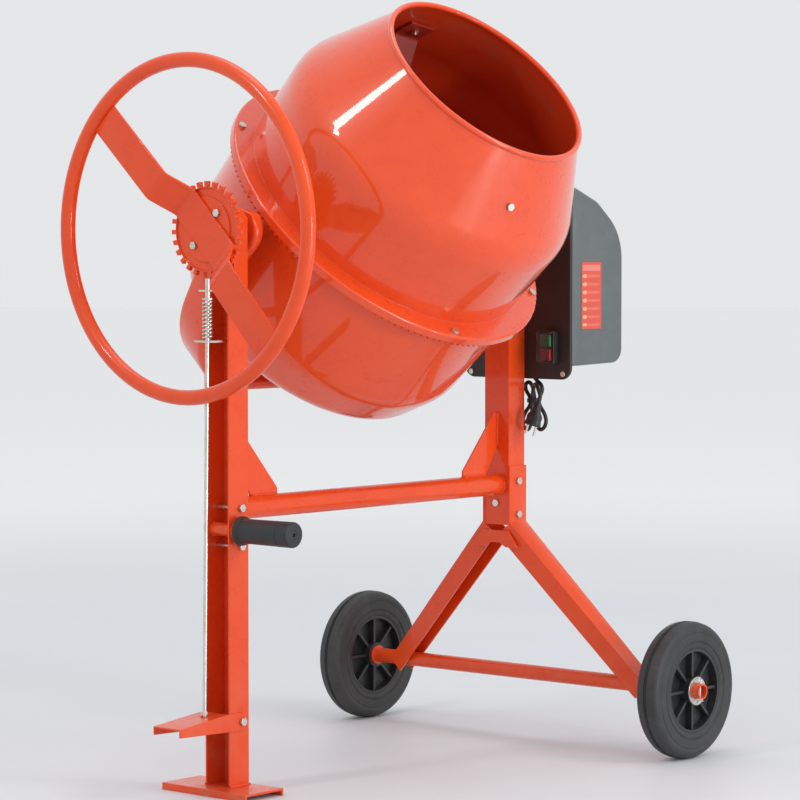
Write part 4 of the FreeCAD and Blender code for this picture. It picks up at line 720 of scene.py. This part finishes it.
# ---------------------------------------------------------------- transport handle
def grip():
    """A moulded rubber grip: flange at the leg, faint rings, and a separate-looking end cap."""
    profile = [(11.2, 0.0), (22.6, 0.0), (24.0, 1.2), (24.0, 4.6), (22.6, 6.0), (20.6, 8.0)]
    profile += [(20.3, 26.0), (20.5, 52.0), (20.8, 84.0), (20.9, 92.0), (20.2, 92.6), (20.2, 94.0), (21.0, 94.6)]
    profile += [(21.0, 112.0)] + arc(17.0, 114.0, 4.0, 0, 90, 6)
    profile += [(7.5, 118.0), (6.6, 117.0), (3.4, 117.0), (3.0, 114.0), (0.0, 114.0)]
    place = aim(at(-370.0, -37.5, 432.0), (0, -1, 0))
    mesh = from_bmesh(turned(profile, 72, place, closed=False), "grip")
    settle("rubber_grip", mesh, "frame", RUBBER, "black_rubber", "handle_grip", smooth=30)


grip()


# ---------------------------------------------------------------- yoke
YOKE_SIDE = [(-320, 33), (-320, -95), (-262, -274), (-137, -350)]    # x and height on the drum's axis
YOKE_PATH = YOKE_SIDE + [(-x, s) for x, s in reversed(YOKE_SIDE)]
YOKE_BENDS = [300, 230, 190, 190, 230, 300]
YOKE_HALF_WIDTH = 37.0
YOKE_HALF_THICK = 11.0
YOKE_EDGE = 8.5


def bent_line(points, bends, spacing=9.0):
    """Stations along straight runs joined by arcs, each as place and direction in one plane."""
    stations = []
    last = Vector(points[0])
    for before, corner, after, radius in zip(points, points[1:], points[2:], bends):
        before, corner, after = Vector(before), Vector(corner), Vector(after)
        into, out = (corner - before).normalized(), (after - corner).normalized()
        turn = into.angle(out)
        reach = radius * math.tan(turn / 2)
        start = corner - into * reach
        steps = max(1, round((start - last).length / spacing))
        stations += [(last.lerp(start, step / steps), into) for step in range(steps)]
        hand = 1 if into.cross(out) > 0 else -1
        centre = start + Vector((-into.y, into.x)) * hand * radius
        bits = max(3, round(turn * radius / spacing))
        for step in range(bits):
            swing = Matrix.Rotation(turn * step / bits * hand, 2)
            stations.append((centre + swing @ (start - centre), swing @ into))
        last = corner + out * reach
    end = Vector(points[-1])
    out = (end - last).normalized()
    steps = max(1, round((end - last).length / spacing))
    stations += [(last.lerp(end, step / steps), out) for step in range(steps + 1)]
    return stations


def rounded_section(half_x, half_y, radius, bits=5):
    radius = min(radius, half_x * 0.98, half_y * 0.98)
    corners = []
    for quarter, (sx, sy) in enumerate(((1, 1), (-1, 1), (-1, -1), (1, -1))):
        centre = (sx * (half_x - radius), sy * (half_y - radius))
        corners += arc(*centre, radius, 90 * quarter, 90 * quarter + 90, bits)
    return corners


def rounded_yoke():
    """The yoke's arm as one pressed box with soft edges and round ends about the pivots."""
    bm = bmesh.new()
    stations = bent_line(YOKE_PATH, YOKE_BENDS)
    run = [0.0]
    for (here, _), (there, _) in zip(stations, stations[1:]):
        run.append(run[-1] + (there - here).length)
    loops = []
    for number, (spot, way) in enumerate(stations):
        to_end = min(run[number], run[-1] - run[number])
        inset = max(0.0, YOKE_HALF_WIDTH - to_end)
        half = max(6.0, math.sqrt(max(0.0, YOKE_HALF_WIDTH ** 2 - inset ** 2)))
        verts = []
        across = Vector((-way.y, way.x))
        for off, wide in rounded_section(YOKE_HALF_THICK, half, YOKE_EDGE):
            point = spot + across * off
            verts.append(bm.verts.new((point.x * MM, wide * MM, point.y * MM)))
        loops.append([bm.edges.new((a, b)) for a, b in zip(verts, verts[1:] + verts[:1])])
    for first, second in zip(loops, loops[1:]):
        bmesh.ops.bridge_loops(bm, edges=first + second)
    bmesh.ops.holes_fill(bm, edges=bm.edges, sides=0)
    bmesh.ops.transform(bm, matrix=DRUM, verts=bm.verts)
    settle("rounded_yoke", from_bmesh(bm, "yoke"), "yoke", PAINT, "orange_paint", "yoke", smooth=50)


rounded_yoke()


# ---------------------------------------------------------------- switch flap
SWITCH_Y = -88.0
FLAP_X = 355.5
FLAP_Z = 713.0
FLAP_THICK = 1.4


def switch_flap():
    """A smoky see-through flap that stands off the two buttons, on a hinge along the top."""
    bm = bmesh.new()
    outline = rounded_section(15.0, 27.0, 4.0, 6)
    face = bm.faces.new([bm.verts.new((0, side * MM, up * MM)) for side, up in outline])
    thick = bmesh.ops.extrude_face_region(bm, geom=[face])["geom"]
    far = [part for part in thick if isinstance(part, bmesh.types.BMVert)]
    bmesh.ops.translate(bm, verts=far, vec=(FLAP_THICK * MM, 0, 0))
    bmesh.ops.transform(bm, matrix=Matrix.Translation(at(FLAP_X, SWITCH_Y, FLAP_Z)), verts=bm.verts)
    settle("switch_flap", from_bmesh(bm, "flap"), "frame", FLAP, "black_plastic", smooth=30)
    for side, suffix in ((-1, "a"), (1, "b")):
        y = SWITCH_Y + side * 15.2
        wire("flap_ear_" + suffix, [(356, y, 738), (360, y, 741), (366, y, 742)], 1.6, BLACK)


switch_flap()


# ---------------------------------------------------------------- sheet metal and castings
EASED = {
    "stand_leg": (1.2, PAINT_WORN), "motor_leg": (1.2, PAINT), "foot_plate": (0.9, PAINT_WORN),
    "gusset_stand": (0.8, PAINT), "gusset_motor": (0.8, PAINT),
    "bearing_stand": (1.5, PAINT), "bearing_motor": (1.5, PAINT),
    "strut_front": (1.1, PAINT), "strut_rear": (1.1, PAINT), "strut_bridge": (0.8, PAINT),
    "lock_pedal": (0.9, PAINT_WORN), "lock_guides": (0.6, ZINC), "handwheel_strap": (0.9, PAINT),
    "locking_disc": (0.8, PAINT), "housing_panel": (1.6, BLACK), "switch_box": (0.9, BLACK),
    "start_button": (0.5, GREEN), "stop_button": (0.5, RED), "label_plate": (0.2, LABEL),
    "hub_bolts": (0.7, ZINC), "frame_bolts": (0.7, ZINC), "pedal_bolt": (0.7, ZINC),
    "flange_bolts": (0.7, ZINC), "blade_bolts": (0.7, ZINC), "yoke_bolts": (0.7, ZINC),
    "cover_screws": (0.5, ZINC), "wheel_washers": (0.5, ZINC),
}
for node, (width, material) in EASED.items():
    eased(node, width, material)

# ---------------------------------------------------------------- materials on carried-over CAD nodes
KEPT = {
    PAINT: [
        "cross_tube", "axle_tube", "handle_stub", "pivot_tube_stand", "pivot_tube_motor", "handwheel_rim",
        "ring_gear",
    ],
    DRUM_PAINT_AND_SHADE: ["upper_drum", "lower_drum"],
    PAINT_RED: ["blade_a", "blade_b", "drum_hub", "drum_shaft"],
    ZINC: ["lock_rod", "drive_shaft"],
    SPRING_STEEL: ["lock_spring"],
    IRON: ["pinion"],
    ALLOY: ["large_pulley", "motor_pulley", "motor"],
    RUBBER: ["drive_belt"],
    GREY: ["housing_cover"],
}
for material, nodes in KEPT.items():
    for node in nodes:
        target = frame["nodes"][node]
        if not target.data.materials:
            target.data.materials.append(material)
        for slot in target.material_slots:
            slot.material = material


# ---------------------------------------------------------------- stage and light
def stage():
    bm = bmesh.new()
    bmesh.ops.create_circle(bm, cap_ends=True, segments=96, radius=40.0)
    floor = bpy.data.objects.new("studio_floor", from_bmesh(bm, "studio_floor", clean=False))
    surface = Finish("pale_studio_floor", Specular_IOR_Level=0.12)
    cloud = surface.noise(1.3, 4.0, 0.55)
    near = surface.blend(cloud, (0.66, 0.675, 0.70), (0.74, 0.75, 0.77))
    x, y, _ = surface.split(surface.where())
    far = ((x * x + y * y).root() - 1.4).fade(0.0, 5.0)
    surface.send("Base Color", surface.blend(far, near, (0.985, 0.985, 0.985)))
    surface.send("Roughness", cloud * 0.2 + far * 0.4 + 0.38)
    floor.data.materials.append(surface.material)
    bpy.context.collection.objects.link(floor)
    world = bpy.data.worlds.new("studio_world")
    bpy.context.scene.world = world
    world.use_nodes = True
    sky = world.node_tree.nodes["Background"]
    sky.inputs["Color"].default_value = (0.93, 0.95, 0.97, 1)
    sky.inputs["Strength"].default_value = 0.84


def softbox(name, place, target, size, power, colour=(1, 1, 1)):
    data = bpy.data.lights.new(name, "AREA")
    data.shape = "RECTANGLE"
    data.size, data.size_y = size
    data.energy = power
    data.color = colour
    lamp = bpy.data.objects.new(name, data)
    lamp.matrix_world = aim(Vector(place), Vector(place) - Vector(target))
    bpy.context.collection.objects.link(lamp)


stage()
softbox("window_tall", (-0.2, -4.3, 0.75), (-0.1, -0.3, 1.0), (0.36, 1.3), 34)
softbox("window_slim", (1.05, -4.0, 0.60), (-0.1, -0.3, 1.0), (0.14, 1.2), 14)
softbox("front_softbox", (0.9, -3.6, 3.0), (0, 0, 0.9), (1.2, 1.2), 34)
softbox("left_softbox", (-2.9, 0.42, 3.45), (-0.2, -0.1, 1.0), (0.34, 1.0), 22)
softbox("top_softbox", (0.2, 0.2, 4.4), (0, 0, 0.5), (2.0, 2.0), 24)
bpy.context.scene.view_settings.view_transform = "Standard"
